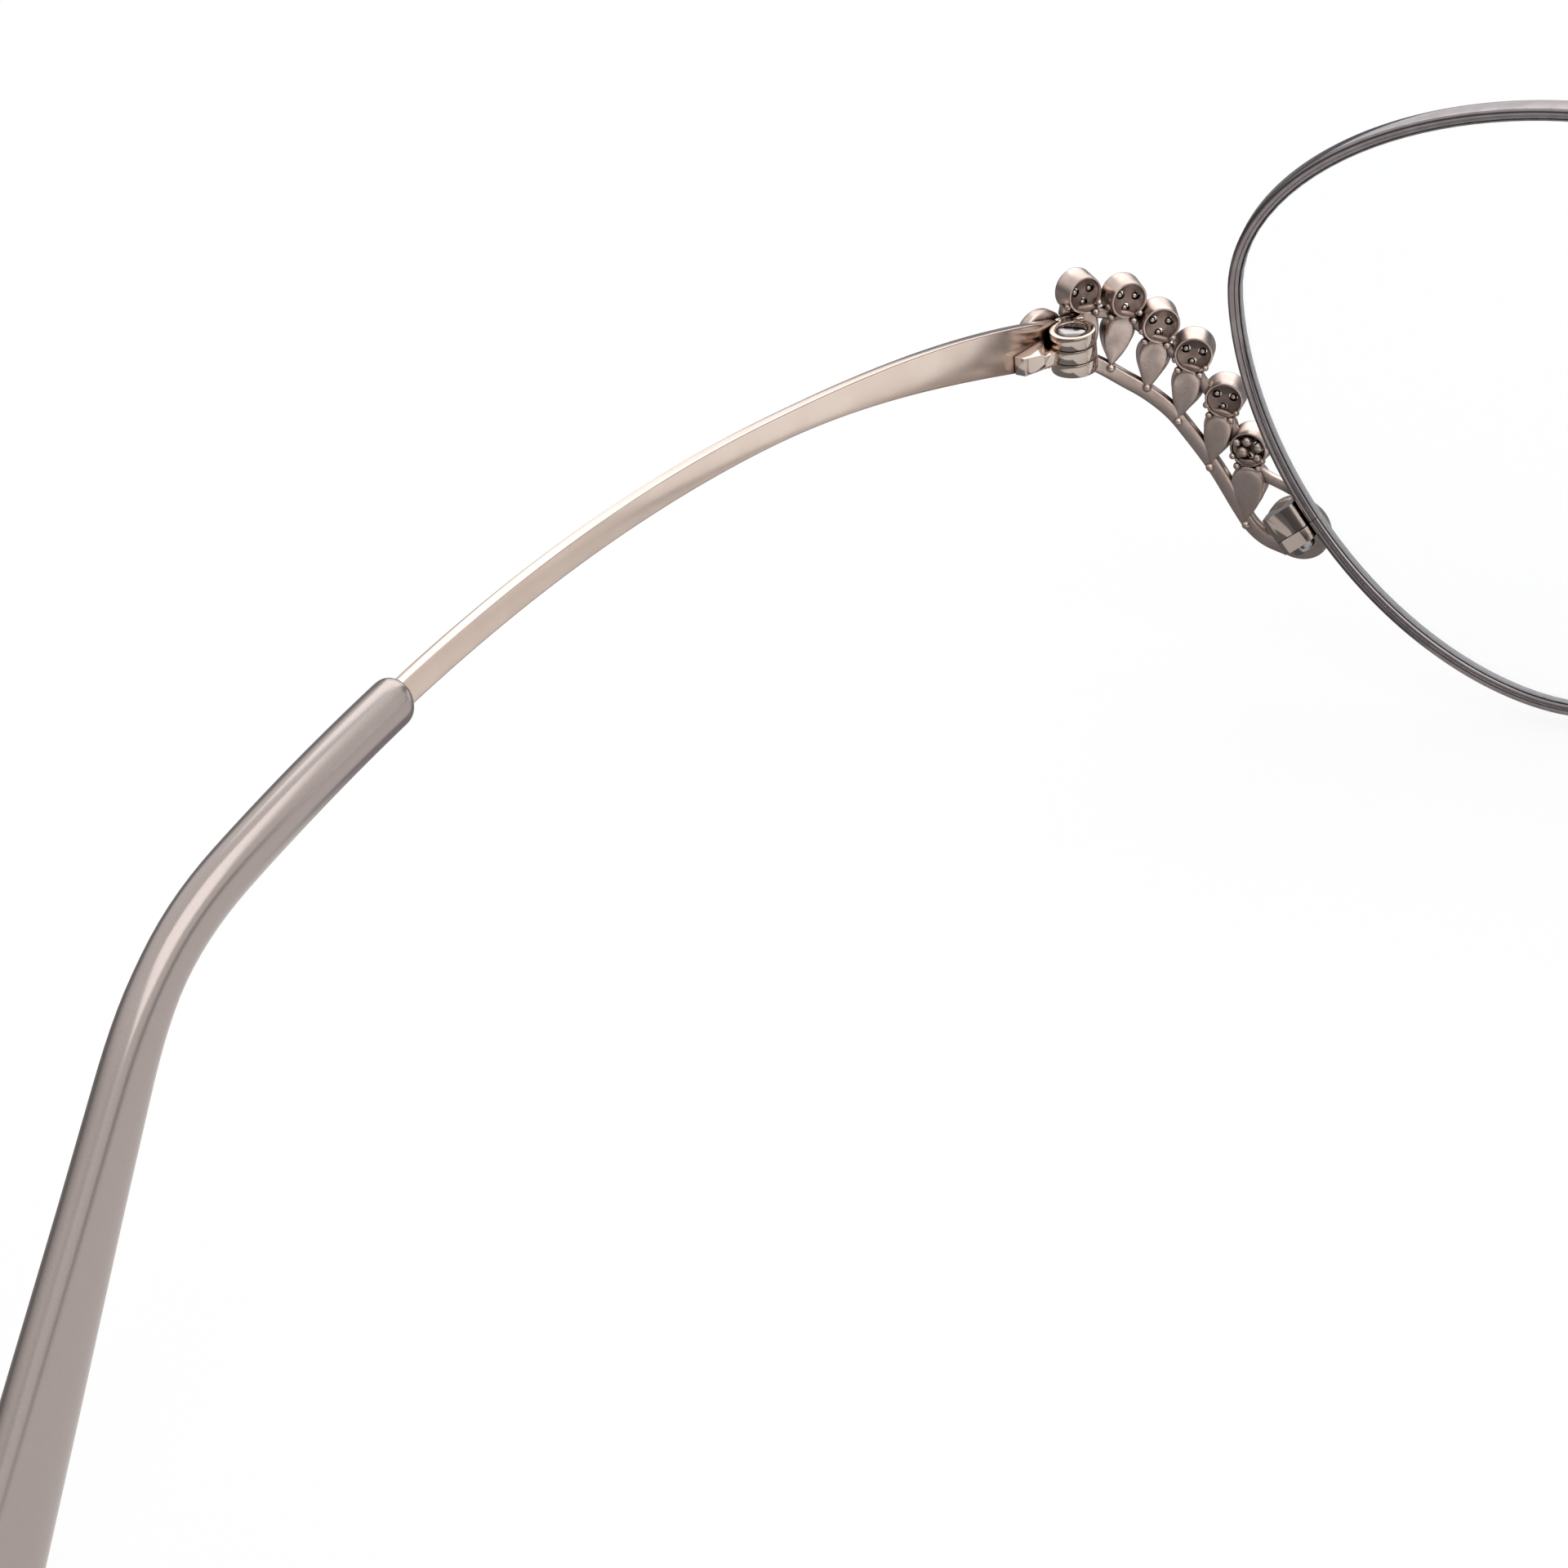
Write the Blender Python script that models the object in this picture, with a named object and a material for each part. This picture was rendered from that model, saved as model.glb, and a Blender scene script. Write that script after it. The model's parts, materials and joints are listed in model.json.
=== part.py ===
"""Metal eyeglass frame with jewelled end pieces, built as separate pieces.

Wearer's left is +X, the wearer looks along -Y, and +Z is up. Every paired piece
is modelled once, on the wearer's left, and mirrored for the right. While the
pieces are made, X = 0 is the middle of the nose, Y = 0 is the front of the lens
shell and Z = 0 is the middle of the hinge barrels. At the end the whole frame
is shifted so that it stands on Z = 0 with the origin under its middle.
"""
import math

import bmesh
import bpy
import numpy as np
from mathutils import Matrix, Vector

# Lenses and rims: sizes in metres, angles in degrees
LENS_WIDTH = 50.5e-3
LENS_RISE = 15.2e-3
LENS_DROP = 28.2e-3
LENS_DROP_POWER = 1.81
BRIDGE_GAP = 18.5e-3
WIDEST_LINE = 6.04e-3
LENS_LEVEL = -3.8e-3
SHELL_RADIUS = 132.0e-3
FACE_WRAP = 5.0
FACE_TILT = 6.7
LENS_THICKNESS = 1.3e-3
BEVEL_DEPTH = 0.50e-3
BEVEL_HALF = 0.28e-3
RIM_WALL = 0.35e-3
RIM_DEPTH = 1.6e-3
RIM_EDGE_BREAK = 0.18e-3
GROOVE_CLEARANCE = 0.04e-3
RIM_STATIONS = 52
SPLIT_ANGLE = 38.5
SPLIT_GAP = 0.06e-3

# Closing block behind the lower outer corner of each rim
BLOCK_REACH = 2.6e-3
BLOCK_DEPTH = 2.4e-3
BLOCK_ROUND = 0.95e-3
BLOCK_UPPER_LENGTH = 1.9e-3
BLOCK_LOWER_LENGTH = 1.05e-3
BLOCK_SCREW_RADIUS = 0.45e-3
BLOCK_HEAD_RADIUS = 0.95e-3
BLOCK_HEAD_HEIGHT = 0.60e-3
BLOCK_SCREW_BITE = 1.3e-3
SOLDER_GAP = 0.03e-3

# Bridge
BRIDGE_RISE = 3.2e-3
BRIDGE_FORWARD = 1.0e-3
BRIDGE_HEIGHT = 1.9e-3
BRIDGE_THICKNESS = 1.3e-3

# Hinge, its axis beyond and behind the lens edge at its widest
HINGE_BEYOND_LENS = 8.9e-3
HINGE_BEHIND_LENS = 7.5349e-3
BARREL_RADIUS = 1.65e-3
KNUCKLE_HEIGHT = 1.0e-3
KNUCKLE_GAP = 0.04e-3
KNUCKLE_ROOM = 0.10e-3
HINGE_SCREW_RADIUS = 0.60e-3
HINGE_SCREW_CLEARANCE = 0.03e-3
HINGE_HEAD_RADIUS = 1.05e-3
HINGE_HEAD_SEAT = 0.45e-3
LEAF_THICKNESS = 0.70e-3
LEAF_HALF_HEIGHT = 1.5e-3
LEAF_BEFORE_BOSS = (3.1e-3, 0.9e-3)
WEB_BEFORE_BOSS = (2.8e-3, 1.0e-3)
BRACKET_LENGTH = 4.55e-3
BRACKET_END_LEVELS = (-0.30e-3, 1.05e-3)
BRACKET_END_THICKNESS = 0.80e-3

# Temple
TEMPLE_LENGTH = 138.0e-3
BUTT_AHEAD = 0.25e-3
BLADE_THICKNESS = 0.75e-3
BLADE_BUTT_HEIGHT = 3.4e-3
BLADE_HEIGHT = 1.85e-3
BLADE_TAPER_LENGTH = 34.0e-3
BLADE_EDGE_BREAK = 0.12e-3
ARCH_RADIUS_FRONT = 203.0e-3
ARCH_RADIUS_BACK = 160.0e-3
CLIMB_AT_HINGE = 18.9
SPREAD_AT_HINGE = 6.65
SPREAD_AT_BACK = -0.86
SPREAD_LENGTH = 91.0e-3
EAR_BEND_AT = 96.1e-3
EAR_BEND_LENGTH = 16.0e-3
EAR_DROP = 51.2
CORE_HEIGHT = 1.30e-3

# Temple tip
TIP_FROM = 72.7e-3
TIP_NECK_HEIGHT = 3.1e-3
TIP_NECK_THICKNESS = 2.6e-3
TIP_BEND_HEIGHT = 3.3e-3
TIP_BEND_THICKNESS = 2.4e-3
TIP_END_HEIGHT = 7.6e-3
TIP_END_THICKNESS = 3.2e-3
TIP_WALL_BEYOND_CORE = 7.0e-3
CORE_CLEARANCE = 0.05e-3

# Jewelled end piece: a casting that follows a plan curve from rim to hinge
CASTING_BACK = 0.50e-3
CUP_FRONT = 1.15e-3
POCKET_FLOOR = 0.25e-3
ROUND_STONE_RADIUS = 1.25e-3
PEAR_STONE_LENGTH = 3.45e-3
PEAR_STONE_WIDTH = 2.05e-3
CUP_WALL = 0.28e-3
STONE_CLEARANCE = 0.03e-3
STONE_HEIGHT = 1.10e-3
RAIL_WIDTH = 1.15e-3
RAIL_FRONT = 0.40e-3
SPINE_WIDTH = 0.80e-3
SPINE_FRONT = 0.12e-3
END_DISC_RADIUS = 3.2e-3
END_DISC_ALONG = 5.2e-3
END_DISC_LEVEL = -15.4e-3
BOSS_RADIUS = 2.0e-3
BOSS_ALONG = 23.0e-3
BOSS_LEVEL = 0.2e-3
DISC_FRONT = 0.9e-3
DISC_BACK = 0.30e-3
HINGE_PLATE_FROM = 17.6e-3
HINGE_PLATE_LOW = -3.0e-3
HINGE_PLATE_HIGH = 1.5e-3
CUP_SIDES = 12
PEAR_SIDES = 12

# Nose pads
PAD_LENGTH = 13.5e-3
PAD_WIDTH = 7.6e-3
PAD_THICKNESS = 2.4e-3
PAD_BESIDE_LENS = 0.35e-3
PAD_BEHIND_LENS = 8.2e-3
PAD_LEVEL = -8.0e-3
PAD_FACING = (-0.80, 0.52, -0.28)
PAD_AXIS_BACK = 1.9e-3
PAD_BOX_LENGTH = 2.7e-3
PAD_BOX_WIDTH = 2.9e-3
PAD_BOX_FROM = 1.15e-3
PAD_BOX_HEIGHT = 2.25e-3
PAD_BOX_ROOF = 0.45e-3
PAD_LUG_LENGTH = 1.5e-3
PAD_LUG_WIDTH = 1.25e-3
PAD_LUG_TOP = 2.6e-3
PAD_LUG_ROOM = 0.30e-3
PAD_SIDE_CLEARANCE = 0.05e-3
PAD_SCREW_RADIUS = 0.36e-3
PAD_SCREW_CLEARANCE = 0.04e-3
PAD_SCREW_HEAD_RADIUS = 0.65e-3
PAD_SCREW_HEAD_HEIGHT = 0.40e-3
PAD_ARM_RADIUS = 0.55e-3
PAD_ARM_ROOT_ANGLE = 198.0

# Faces that lie within this angle of each other are one flat face
FLAT_WITHIN = 0.1

# Plan of the end piece's middle layer, seen from above: outward and back from the
# rim's split where it starts, and from the lens edge at its widest further on
PLAN_FROM_SPLIT = (
    (-2.7589e-3, -1.6905e-3), (0.7411e-3, -1.2905e-3), (4.7411e-3, -0.8405e-3),
)
PLAN_FROM_EDGE = (
    (1.25e-3, 0.3749e-3), (3.55e-3, 0.9749e-3), (5.85e-3, 1.8749e-3), (8.05e-3, 3.0749e-3),
    (9.85e-3, 4.4749e-3), (11.25e-3, 5.9749e-3), (12.0e-3, 7.7749e-3), (12.35e-3, 10.1749e-3),
)
# Round settings and the tips of the pear settings below them: along the plan, level
ROUND_SEATS = (
    (19.6e-3, 2.75e-3), (16.45e-3, 1.95e-3), (14.2e-3, -0.1e-3),
    (11.9e-3, -2.4e-3), (9.8e-3, -5.85e-3), (8.1e-3, -9.65e-3),
)
PEAR_TIPS = (
    (19.6e-3, -2.4e-3), (17.9e-3, -3.2e-3), (15.35e-3, -4.95e-3),
    (13.2e-3, -7.7e-3), (11.0e-3, -11.3e-3), (8.5e-3, -15.8e-3),
)
# How far each round setting faces outward from the plan curve's own front, in degrees
ROUND_TURNS = (20.0, 24.0, 20.0, 10.0, 6.0, 0.0)
# Lower edge of the rail that carries the pear tips, from the hinge to the end disc
RAIL_EDGE = (
    (20.6e-3, -2.4e-3), (18.9e-3, -3.55e-3), (17.3e-3, -4.75e-3), (15.7e-3, -5.9e-3),
    (14.1e-3, -7.4e-3), (12.8e-3, -9.2e-3), (11.1e-3, -11.8e-3), (9.4e-3, -15.0e-3),
    (8.5e-3, -16.4e-3), (7.3e-3, -17.4e-3), (5.6e-3, -18.0e-3),
)


def clear_scene():
    for item in list(bpy.data.objects):
        bpy.data.objects.remove(item, do_unlink=True)


def make_material(name, colour, roughness, metallic, alpha=1.0):
    material = bpy.data.materials.new(name)
    material.use_nodes = True
    shader = material.node_tree.nodes["Principled BSDF"]
    shader.inputs["Base Color"].default_value = (*colour, 1.0)
    shader.inputs["Roughness"].default_value = roughness
    shader.inputs["Metallic"].default_value = metallic
    shader.inputs["Alpha"].default_value = alpha
    return material


def smooth_curve(points, steps=24):
    """Points close together on one smooth curve through the given points."""
    knots = [np.array(p, float) for p in points]
    knots = [2 * knots[0] - knots[1]] + knots + [2 * knots[-1] - knots[-2]]
    curve = []
    for a, b, c, d in zip(knots, knots[1:], knots[2:], knots[3:]):
        for t in np.linspace(0.0, 1.0, steps, endpoint=False):
            curve.append(0.5 * (2 * b + (c - a) * t + (2 * a - 5 * b + 4 * c - d) * t ** 2
                                + (3 * b - a - 3 * c + d) * t ** 3))
    curve.append(knots[-2])
    return np.array(curve)


def distances(curve):
    """Length along a curve to each of its points."""
    steps = np.linalg.norm(np.diff(curve, axis=0), axis=1)
    return np.concatenate([[0.0], np.cumsum(steps)])


def at_distance(curve, where):
    """Point of a curve at a length, or points at several lengths, along it."""
    run = distances(curve)
    return np.stack([np.interp(where, run, curve[:, i]) for i in range(curve.shape[1])], -1)


def loft(rings, closed=False):
    """Skin rings of equal counts into one closed body, with flat ends unless closed."""
    bm = bmesh.new()
    rows = [[bm.verts.new(p) for p in ring] for ring in rings]
    count = len(rows[0])
    pairs = list(zip(rows, rows[1:]))
    if closed:
        pairs.append((rows[-1], rows[0]))
    for low, high in pairs:
        for i in range(count):
            j = (i + 1) % count
            bm.faces.new((low[i], low[j], high[j], high[i]))
    if not closed:
        bm.faces.new(rows[0])
        bm.faces.new(rows[-1])
    bmesh.ops.recalc_face_normals(bm, faces=bm.faces)
    return bm


def turned(profile, sides, frame):
    """Turn a profile of (radius, height) about the frame's third axis."""
    bm = bmesh.new()
    rows = []
    for radius, height in profile:
        if radius == 0.0:
            rows.append([bm.verts.new(frame @ Vector((0.0, 0.0, height)))])
            continue
        ring = []
        for i in range(sides):
            angle = 2 * math.pi * i / sides
            ring.append(bm.verts.new(frame @ Vector(
                (radius * math.cos(angle), radius * math.sin(angle), height))))
        rows.append(ring)
    skin_rows(bm, rows)
    return bm


def skin_rows(bm, rows):
    """Skin rows of one or many points; an end row of many gets a flat face."""
    for low, high in zip(rows, rows[1:]):
        count = max(len(low), len(high))
        for i in range(count):
            j = (i + 1) % count
            corners = [low[i % len(low)], low[j % len(low)], high[j % len(high)], high[i % len(high)]]
            corners = [c for k, c in enumerate(corners) if c not in corners[:k]]
            bm.faces.new(corners)
    for row in (rows[0], rows[-1]):
        if len(row) > 1:
            bm.faces.new(row)
    bmesh.ops.recalc_face_normals(bm, faces=bm.faces)


def block(size, frame, centre=(0.0, 0.0, 0.0)):
    """Rectangular block of a full size, placed by a frame."""
    bm = bmesh.new()
    bmesh.ops.create_cube(bm, size=1.0)
    place = frame @ Matrix.Translation(centre) @ Matrix.Diagonal((*size, 1.0))
    bmesh.ops.transform(bm, matrix=place, verts=bm.verts)
    bmesh.ops.recalc_face_normals(bm, faces=bm.faces)
    return bm


def prism(outline, low, high, frame):
    """Extrude an outline of (x, y) between two heights of a frame."""
    return loft([[frame @ Vector((x, y, level)) for x, y in outline] for level in (low, high)])


def frame_at(origin, x_axis, y_axis, z_axis):
    rows = Matrix((x_axis, y_axis, z_axis)).transposed().to_4x4()
    return Matrix.Translation(origin) @ rows


def to_mesh(bm, name):
    mesh = bpy.data.meshes.new(name)
    bm.to_mesh(mesh)
    return mesh


def boolean(body, tools, operation):
    """Exact Boolean of one closed body with closed tools, flat areas made whole again."""
    group = bpy.data.collections.new("tools")
    items = []
    for bm in [body] + tools:
        bmesh.ops.triangulate(bm, faces=bm.faces)
        item = bpy.data.objects.new("piece", to_mesh(bm, "piece"))
        items.append(item)
        if bm is not body:
            group.objects.link(item)
    bpy.context.scene.collection.objects.link(items[0])
    bpy.context.scene.collection.children.link(group)
    modifier = items[0].modifiers.new("combine", "BOOLEAN")
    modifier.operation = operation
    modifier.solver = "EXACT"
    modifier.operand_type = "COLLECTION"
    modifier.collection = group
    depsgraph = bpy.context.evaluated_depsgraph_get()
    result = bmesh.new()
    result.from_mesh(items[0].evaluated_get(depsgraph).to_mesh())
    for item in items:
        bpy.data.objects.remove(item, do_unlink=True)
    bpy.data.collections.remove(group)
    bmesh.ops.dissolve_limit(result, angle_limit=math.radians(FLAT_WITHIN),
                             verts=result.verts, edges=result.edges)
    return result


def join(pieces):
    return boolean(pieces[0], pieces[1:], "UNION")


def cut(body, tools):
    for tool in tools:
        body = boolean(body, [tool], "DIFFERENCE")
    return body


def add_object(name, bm, material, parent=None):
    mesh = to_mesh(bm, name)
    mesh.materials.append(material)
    mesh.shade_smooth()
    mesh.set_sharp_from_angle(angle=math.radians(35.0))
    item = bpy.data.objects.new(name, mesh)
    bpy.context.scene.collection.objects.link(item)
    if parent:
        item.parent = parent
        item.matrix_parent_inverse = parent.matrix_world.inverted()
    return item


def add_pair(name, bm, material, axes=None):
    """Add a left piece and its mirror image for the right."""
    add_object("left_" + name, bm, material, axes and axes["left"])
    mirror = bm.copy()
    bmesh.ops.scale(mirror, vec=(-1.0, 1.0, 1.0), verts=mirror.verts)
    bmesh.ops.reverse_faces(mirror, faces=mirror.faces)
    add_object("right_" + name, mirror, material, axes and axes["right"])


def add_axes(name, place):
    """Empties on a left and a right joint axis, which carry what turns there."""
    axes = {}
    for side, sign in (("left", 1.0), ("right", -1.0)):
        axis = bpy.data.objects.new(side + "_" + name, None)
        axis.location = (sign * place[0], place[1], place[2])
        axis.empty_display_size = BARREL_RADIUS
        bpy.context.scene.collection.objects.link(axis)
        axes[side] = axis
    bpy.context.view_layer.update()
    return axes


# The lens shell: a shallow dome, turned by the wrap and tilted with the face
EYE_CENTRE = (BRIDGE_GAP + LENS_WIDTH) / 2


def on_shell(x, z, depth=0.0):
    """Point at (x, z) from the lens centre, a depth behind the middle of the shell."""
    wrap = math.tan(math.radians(FACE_WRAP))
    y = (x * x + z * z) / (2 * SHELL_RADIUS) + x * wrap
    back = Vector((-x / SHELL_RADIUS - wrap, 1.0, -z / SHELL_RADIUS)).normalized()
    tilt = Matrix.Rotation(math.radians(FACE_TILT), 3, "X")
    return tilt @ (Vector((x, y, z)) + depth * back) + Vector((EYE_CENTRE, 0.0, LENS_LEVEL))


# The lens edge at its widest carries the hinge, and the end piece beside it
LENS_EDGE = on_shell(LENS_WIDTH / 2, WIDEST_LINE)
HINGE_X = LENS_EDGE.x + HINGE_BEYOND_LENS
HINGE_Y = LENS_EDGE.y + HINGE_BEHIND_LENS


def lens_outline():
    """Lens edge: half an ellipse above the widest line, a fuller curve below."""
    points = []
    for angle in np.linspace(0.0, 2 * math.pi, 721)[:-1]:
        c, s = math.cos(angle), math.sin(angle)
        power = 2.0 / (2.0 if s >= 0.0 else LENS_DROP_POWER)
        tall = LENS_RISE if s >= 0.0 else LENS_DROP
        x = 0.5 * LENS_WIDTH * math.copysign(abs(c) ** power, c)
        points.append((x, WIDEST_LINE + tall * math.copysign(abs(s) ** power, s)))
    return np.array(points)


def outline_stations():
    """Even stations round the lens edge from the split: (x, z) and outward (x, z)."""
    dense = lens_outline()
    start = int(round((360.0 - SPLIT_ANGLE) / 360.0 * len(dense)))
    loop = np.roll(dense, -start, axis=0)
    loop = np.vstack([loop, loop[:1]])
    length = distances(loop)[-1]
    where = np.linspace(0.0, length, RIM_STATIONS, endpoint=False)
    points = at_distance(loop, where)
    ahead = at_distance(loop, (where + length / 720) % length)
    behind = at_distance(loop, (where - length / 720) % length)
    along = ahead - behind
    along /= np.linalg.norm(along, axis=1)[:, None]
    outward = np.stack([along[:, 1], -along[:, 0]], -1)
    return points, outward, along


def ring_on_shell(point, outward, profile, slide=(0.0, 0.0)):
    """Place a profile of (outward, depth) at one station of the lens edge."""
    return [on_shell(point[0] + slide[0] + outward[0] * r, point[1] + slide[1] + outward[1] * r, d)
            for r, d in profile]


def make_rim():
    """Eyewire with a V groove, split at the closing block."""
    points, outward, along = outline_stations()
    half = RIM_DEPTH / 2
    lip = -BEVEL_DEPTH + GROOVE_CLEARANCE
    mouth = BEVEL_HALF + GROOVE_CLEARANCE
    brk = RIM_EDGE_BREAK
    profile = (
        (RIM_WALL - brk, -half), (RIM_WALL, -half + brk), (RIM_WALL, half - brk),
        (RIM_WALL - brk, half), (lip, half), (lip, mouth), (GROOVE_CLEARANCE, 0.0),
        (lip, -mouth), (lip, -half),
    )
    rings = [ring_on_shell(p, n, profile) for p, n in zip(points, outward)]
    first = ring_on_shell(points[0], outward[0], profile, slide=along[0] * SPLIT_GAP / 2)
    last = ring_on_shell(points[0], outward[0], profile, slide=-along[0] * SPLIT_GAP / 2)
    return loft([first] + rings[1:] + [last])


def make_lens():
    """Domed lens with a V bevel that sits in the groove."""
    points, outward, _ = outline_stations()
    half = LENS_THICKNESS / 2
    bm = bmesh.new()
    rows = []
    for share in (0.0, 0.5):
        rows.append([(p * share, n * 0.0, -half) for p, n in zip(points, outward)])
    for inset, depth in ((BEVEL_DEPTH + GROOVE_CLEARANCE, -half),
                         (BEVEL_DEPTH + GROOVE_CLEARANCE, -BEVEL_HALF), (GROOVE_CLEARANCE, 0.0),
                         (BEVEL_DEPTH + GROOVE_CLEARANCE, BEVEL_HALF),
                         (BEVEL_DEPTH + GROOVE_CLEARANCE, half)):
        rows.append([(p, -inset * n, depth) for p, n in zip(points, outward)])
    for share in (0.5, 0.0):
        rows.append([(p * share, n * 0.0, half) for p, n in zip(points, outward)])
    verts = []
    for row in rows:
        spots = [on_shell(p[0] + n[0], p[1] + n[1], d) for p, n, d in row]
        if (spots[0] - spots[len(spots) // 2]).length < LENS_THICKNESS:
            spots = spots[:1]
        verts.append([bm.verts.new(s) for s in spots])
    skin_rows(bm, verts)
    return bm


def split_frame():
    """Frame on the rim's outer edge at the split: outward, backward, along the rim."""
    points, outward, along = outline_stations()
    p, n, t = points[0], outward[0], along[0]
    here = on_shell(*p)
    step = LENS_THICKNESS
    out = (on_shell(p[0] + n[0] * step, p[1] + n[1] * step) - here).normalized()
    up = (on_shell(p[0] + t[0] * step, p[1] + t[1] * step) - here).normalized()
    back = up.cross(out).normalized()
    out = back.cross(up).normalized()
    return frame_at(here + out * (RIM_WALL + SOLDER_GAP), out, back, up)


def block_outline():
    """Closing block seen along its screw: flat towards the rim, rounded behind."""
    front = -RIM_DEPTH / 2
    rear = front + BLOCK_DEPTH
    corners = [(0.0, front), (BLOCK_REACH - BLOCK_ROUND / 2, front), (BLOCK_REACH, front + BLOCK_ROUND / 2)]
    for angle in np.linspace(0.0, math.pi / 2, 4):
        corners.append((BLOCK_REACH - BLOCK_ROUND + BLOCK_ROUND * math.cos(angle),
                        rear - BLOCK_ROUND + BLOCK_ROUND * math.sin(angle)))
    corners.append((BLOCK_ROUND / 2, rear))
    corners.append((0.0, rear - BLOCK_ROUND / 2))
    return corners


def make_closing_block():
    """Upper and lower halves of the closing block, and the screw that draws them together."""
    frame = split_frame()
    middle = Vector((BLOCK_REACH / 2, (BLOCK_DEPTH - RIM_DEPTH) / 2, 0.0))
    axis = frame @ Matrix.Translation(middle)
    gap = SPLIT_GAP / 2
    bore = BLOCK_SCREW_RADIUS + SOLDER_GAP
    tip = BLOCK_SCREW_BITE
    upper = prism(block_outline(), gap, BLOCK_UPPER_LENGTH, frame)
    hole = turned([(bore, -BLOCK_LOWER_LENGTH), (bore, tip + SOLDER_GAP)], 12, axis)
    upper = cut(upper, [hole])
    lower = prism(block_outline(), -BLOCK_LOWER_LENGTH, -gap, frame)
    through = turned([(bore, -2 * BLOCK_LOWER_LENGTH), (bore, BLOCK_LOWER_LENGTH)], 12, axis)
    lower = cut(lower, [through])
    seat = -BLOCK_LOWER_LENGTH - SOLDER_GAP
    screw = turned([(BLOCK_HEAD_RADIUS * 0.8, seat - BLOCK_HEAD_HEIGHT),
                    (BLOCK_HEAD_RADIUS, seat - 0.7 * BLOCK_HEAD_HEIGHT), (BLOCK_HEAD_RADIUS, seat),
                    (BLOCK_SCREW_RADIUS, seat), (BLOCK_SCREW_RADIUS, tip)], 12, axis)
    slot = block((3 * BLOCK_HEAD_RADIUS, 0.3 * BLOCK_HEAD_RADIUS, BLOCK_HEAD_HEIGHT), axis,
                 (0.0, 0.0, seat - BLOCK_HEAD_HEIGHT))
    return upper, lower, cut(screw, [slot])


def make_bridge():
    """Saddle bridge that rises between the widest points of the rims."""
    reach = BRIDGE_GAP / 2 - RIM_WALL - 3 * SOLDER_GAP
    root = on_shell(-LENS_WIDTH / 2, WIDEST_LINE)
    rings = []
    for x in np.linspace(-reach, reach, 15):
        lift = 0.5 * (1.0 + math.cos(math.pi * x / reach))
        centre = Vector((x, root.y - BRIDGE_FORWARD * lift, root.z + BRIDGE_RISE * lift))
        slope = -0.5 * math.pi / reach * math.sin(math.pi * x / reach)
        along = Vector((1.0, -BRIDGE_FORWARD * slope, BRIDGE_RISE * slope)).normalized()
        if abs(x) > 0.99 * reach:
            along = Vector((1.0, 0.0, 0.0))
        front = Vector((0.0, -1.0, 0.0))
        up = front.cross(along).normalized() * -1.0
        ring = []
        for k in range(8):
            angle = 2 * math.pi * (k + 0.5) / 8
            ring.append(centre + up * (0.5 * BRIDGE_HEIGHT * math.sin(angle))
                        + front * (0.5 * BRIDGE_THICKNESS * math.cos(angle)))
        rings.append(ring)
    return loft(rings)


def casting_plan():
    """Plan curve of the end piece, from the rim's split round to the hinge."""
    points = []
    split = on_shell(*outline_stations()[0][0])
    for start, steps in ((split, PLAN_FROM_SPLIT), (LENS_EDGE, PLAN_FROM_EDGE)):
        points += [(start.x + beyond, start.y + behind) for beyond, behind in steps]
    return smooth_curve(points)


# The casting's plan curve carries everything of the jewelled end piece
PLAN = casting_plan()


def plan_frame(along, level):
    """Frame on the plan curve: along it, up, and backwards through the casting."""
    step = 0.1 * ROUND_STONE_RADIUS
    here = at_distance(PLAN, along)
    run = at_distance(PLAN, along + step) - at_distance(PLAN, along - step)
    tangent = Vector((run[0], run[1], 0.0)).normalized()
    up = Vector((0.0, 0.0, 1.0))
    return frame_at(Vector((here[0], here[1], level)), tangent, up, up.cross(tangent))


def on_plan(along, level, back):
    """Point on the curved casting: along the plan, at a level, behind the middle."""
    return plan_frame(along, level) @ Vector((0.0, 0.0, back))


def setting_frame(index, turn=0.0):
    """Frame of one setting, turned so that +Y runs down to its pear's tip."""
    along, level = ROUND_SEATS[index]
    tip_along, tip_level = PEAR_TIPS[index]
    lean = math.atan2(along - tip_along, level - tip_level)
    facing = plan_frame(along, level) @ Matrix.Rotation(math.radians(-turn), 4, "Y")
    return facing @ Matrix.Rotation(math.pi - lean, 4, "Z")


def pear_outline(length, width):
    """Pear outline in (x, y), its tip at +y, centred on its length."""
    fullest = max(math.sin(t) * math.sin(t / 2) for t in np.linspace(0.0, math.pi, 181))
    points = []
    for i in range(PEAR_SIDES):
        t = 2 * math.pi * i / PEAR_SIDES
        x = 0.5 * width * math.sin(t) * abs(math.sin(t / 2)) / fullest
        points.append((x, 0.5 * length * math.cos(t)))
    return points


def pear_rows(bm, frame, layers):
    """Rows of a pear-shaped body from (length, width, height), a point where length is 0."""
    rows = []
    for length, width, height in layers:
        if length == 0.0:
            rows.append([bm.verts.new(frame @ Vector((0.0, 0.0, height)))])
        else:
            rows.append([bm.verts.new(frame @ Vector((x, y, height)))
                         for x, y in pear_outline(length, width)])
    skin_rows(bm, rows)
    return bm


def pear_frame(index):
    """Frame at the middle of a pear setting, just below its round setting."""
    wall = STONE_CLEARANCE + CUP_WALL
    below = ROUND_STONE_RADIUS + PEAR_STONE_LENGTH / 2 + 1.8 * wall
    return setting_frame(index) @ Matrix.Translation((0.0, below, 0.0))


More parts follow.
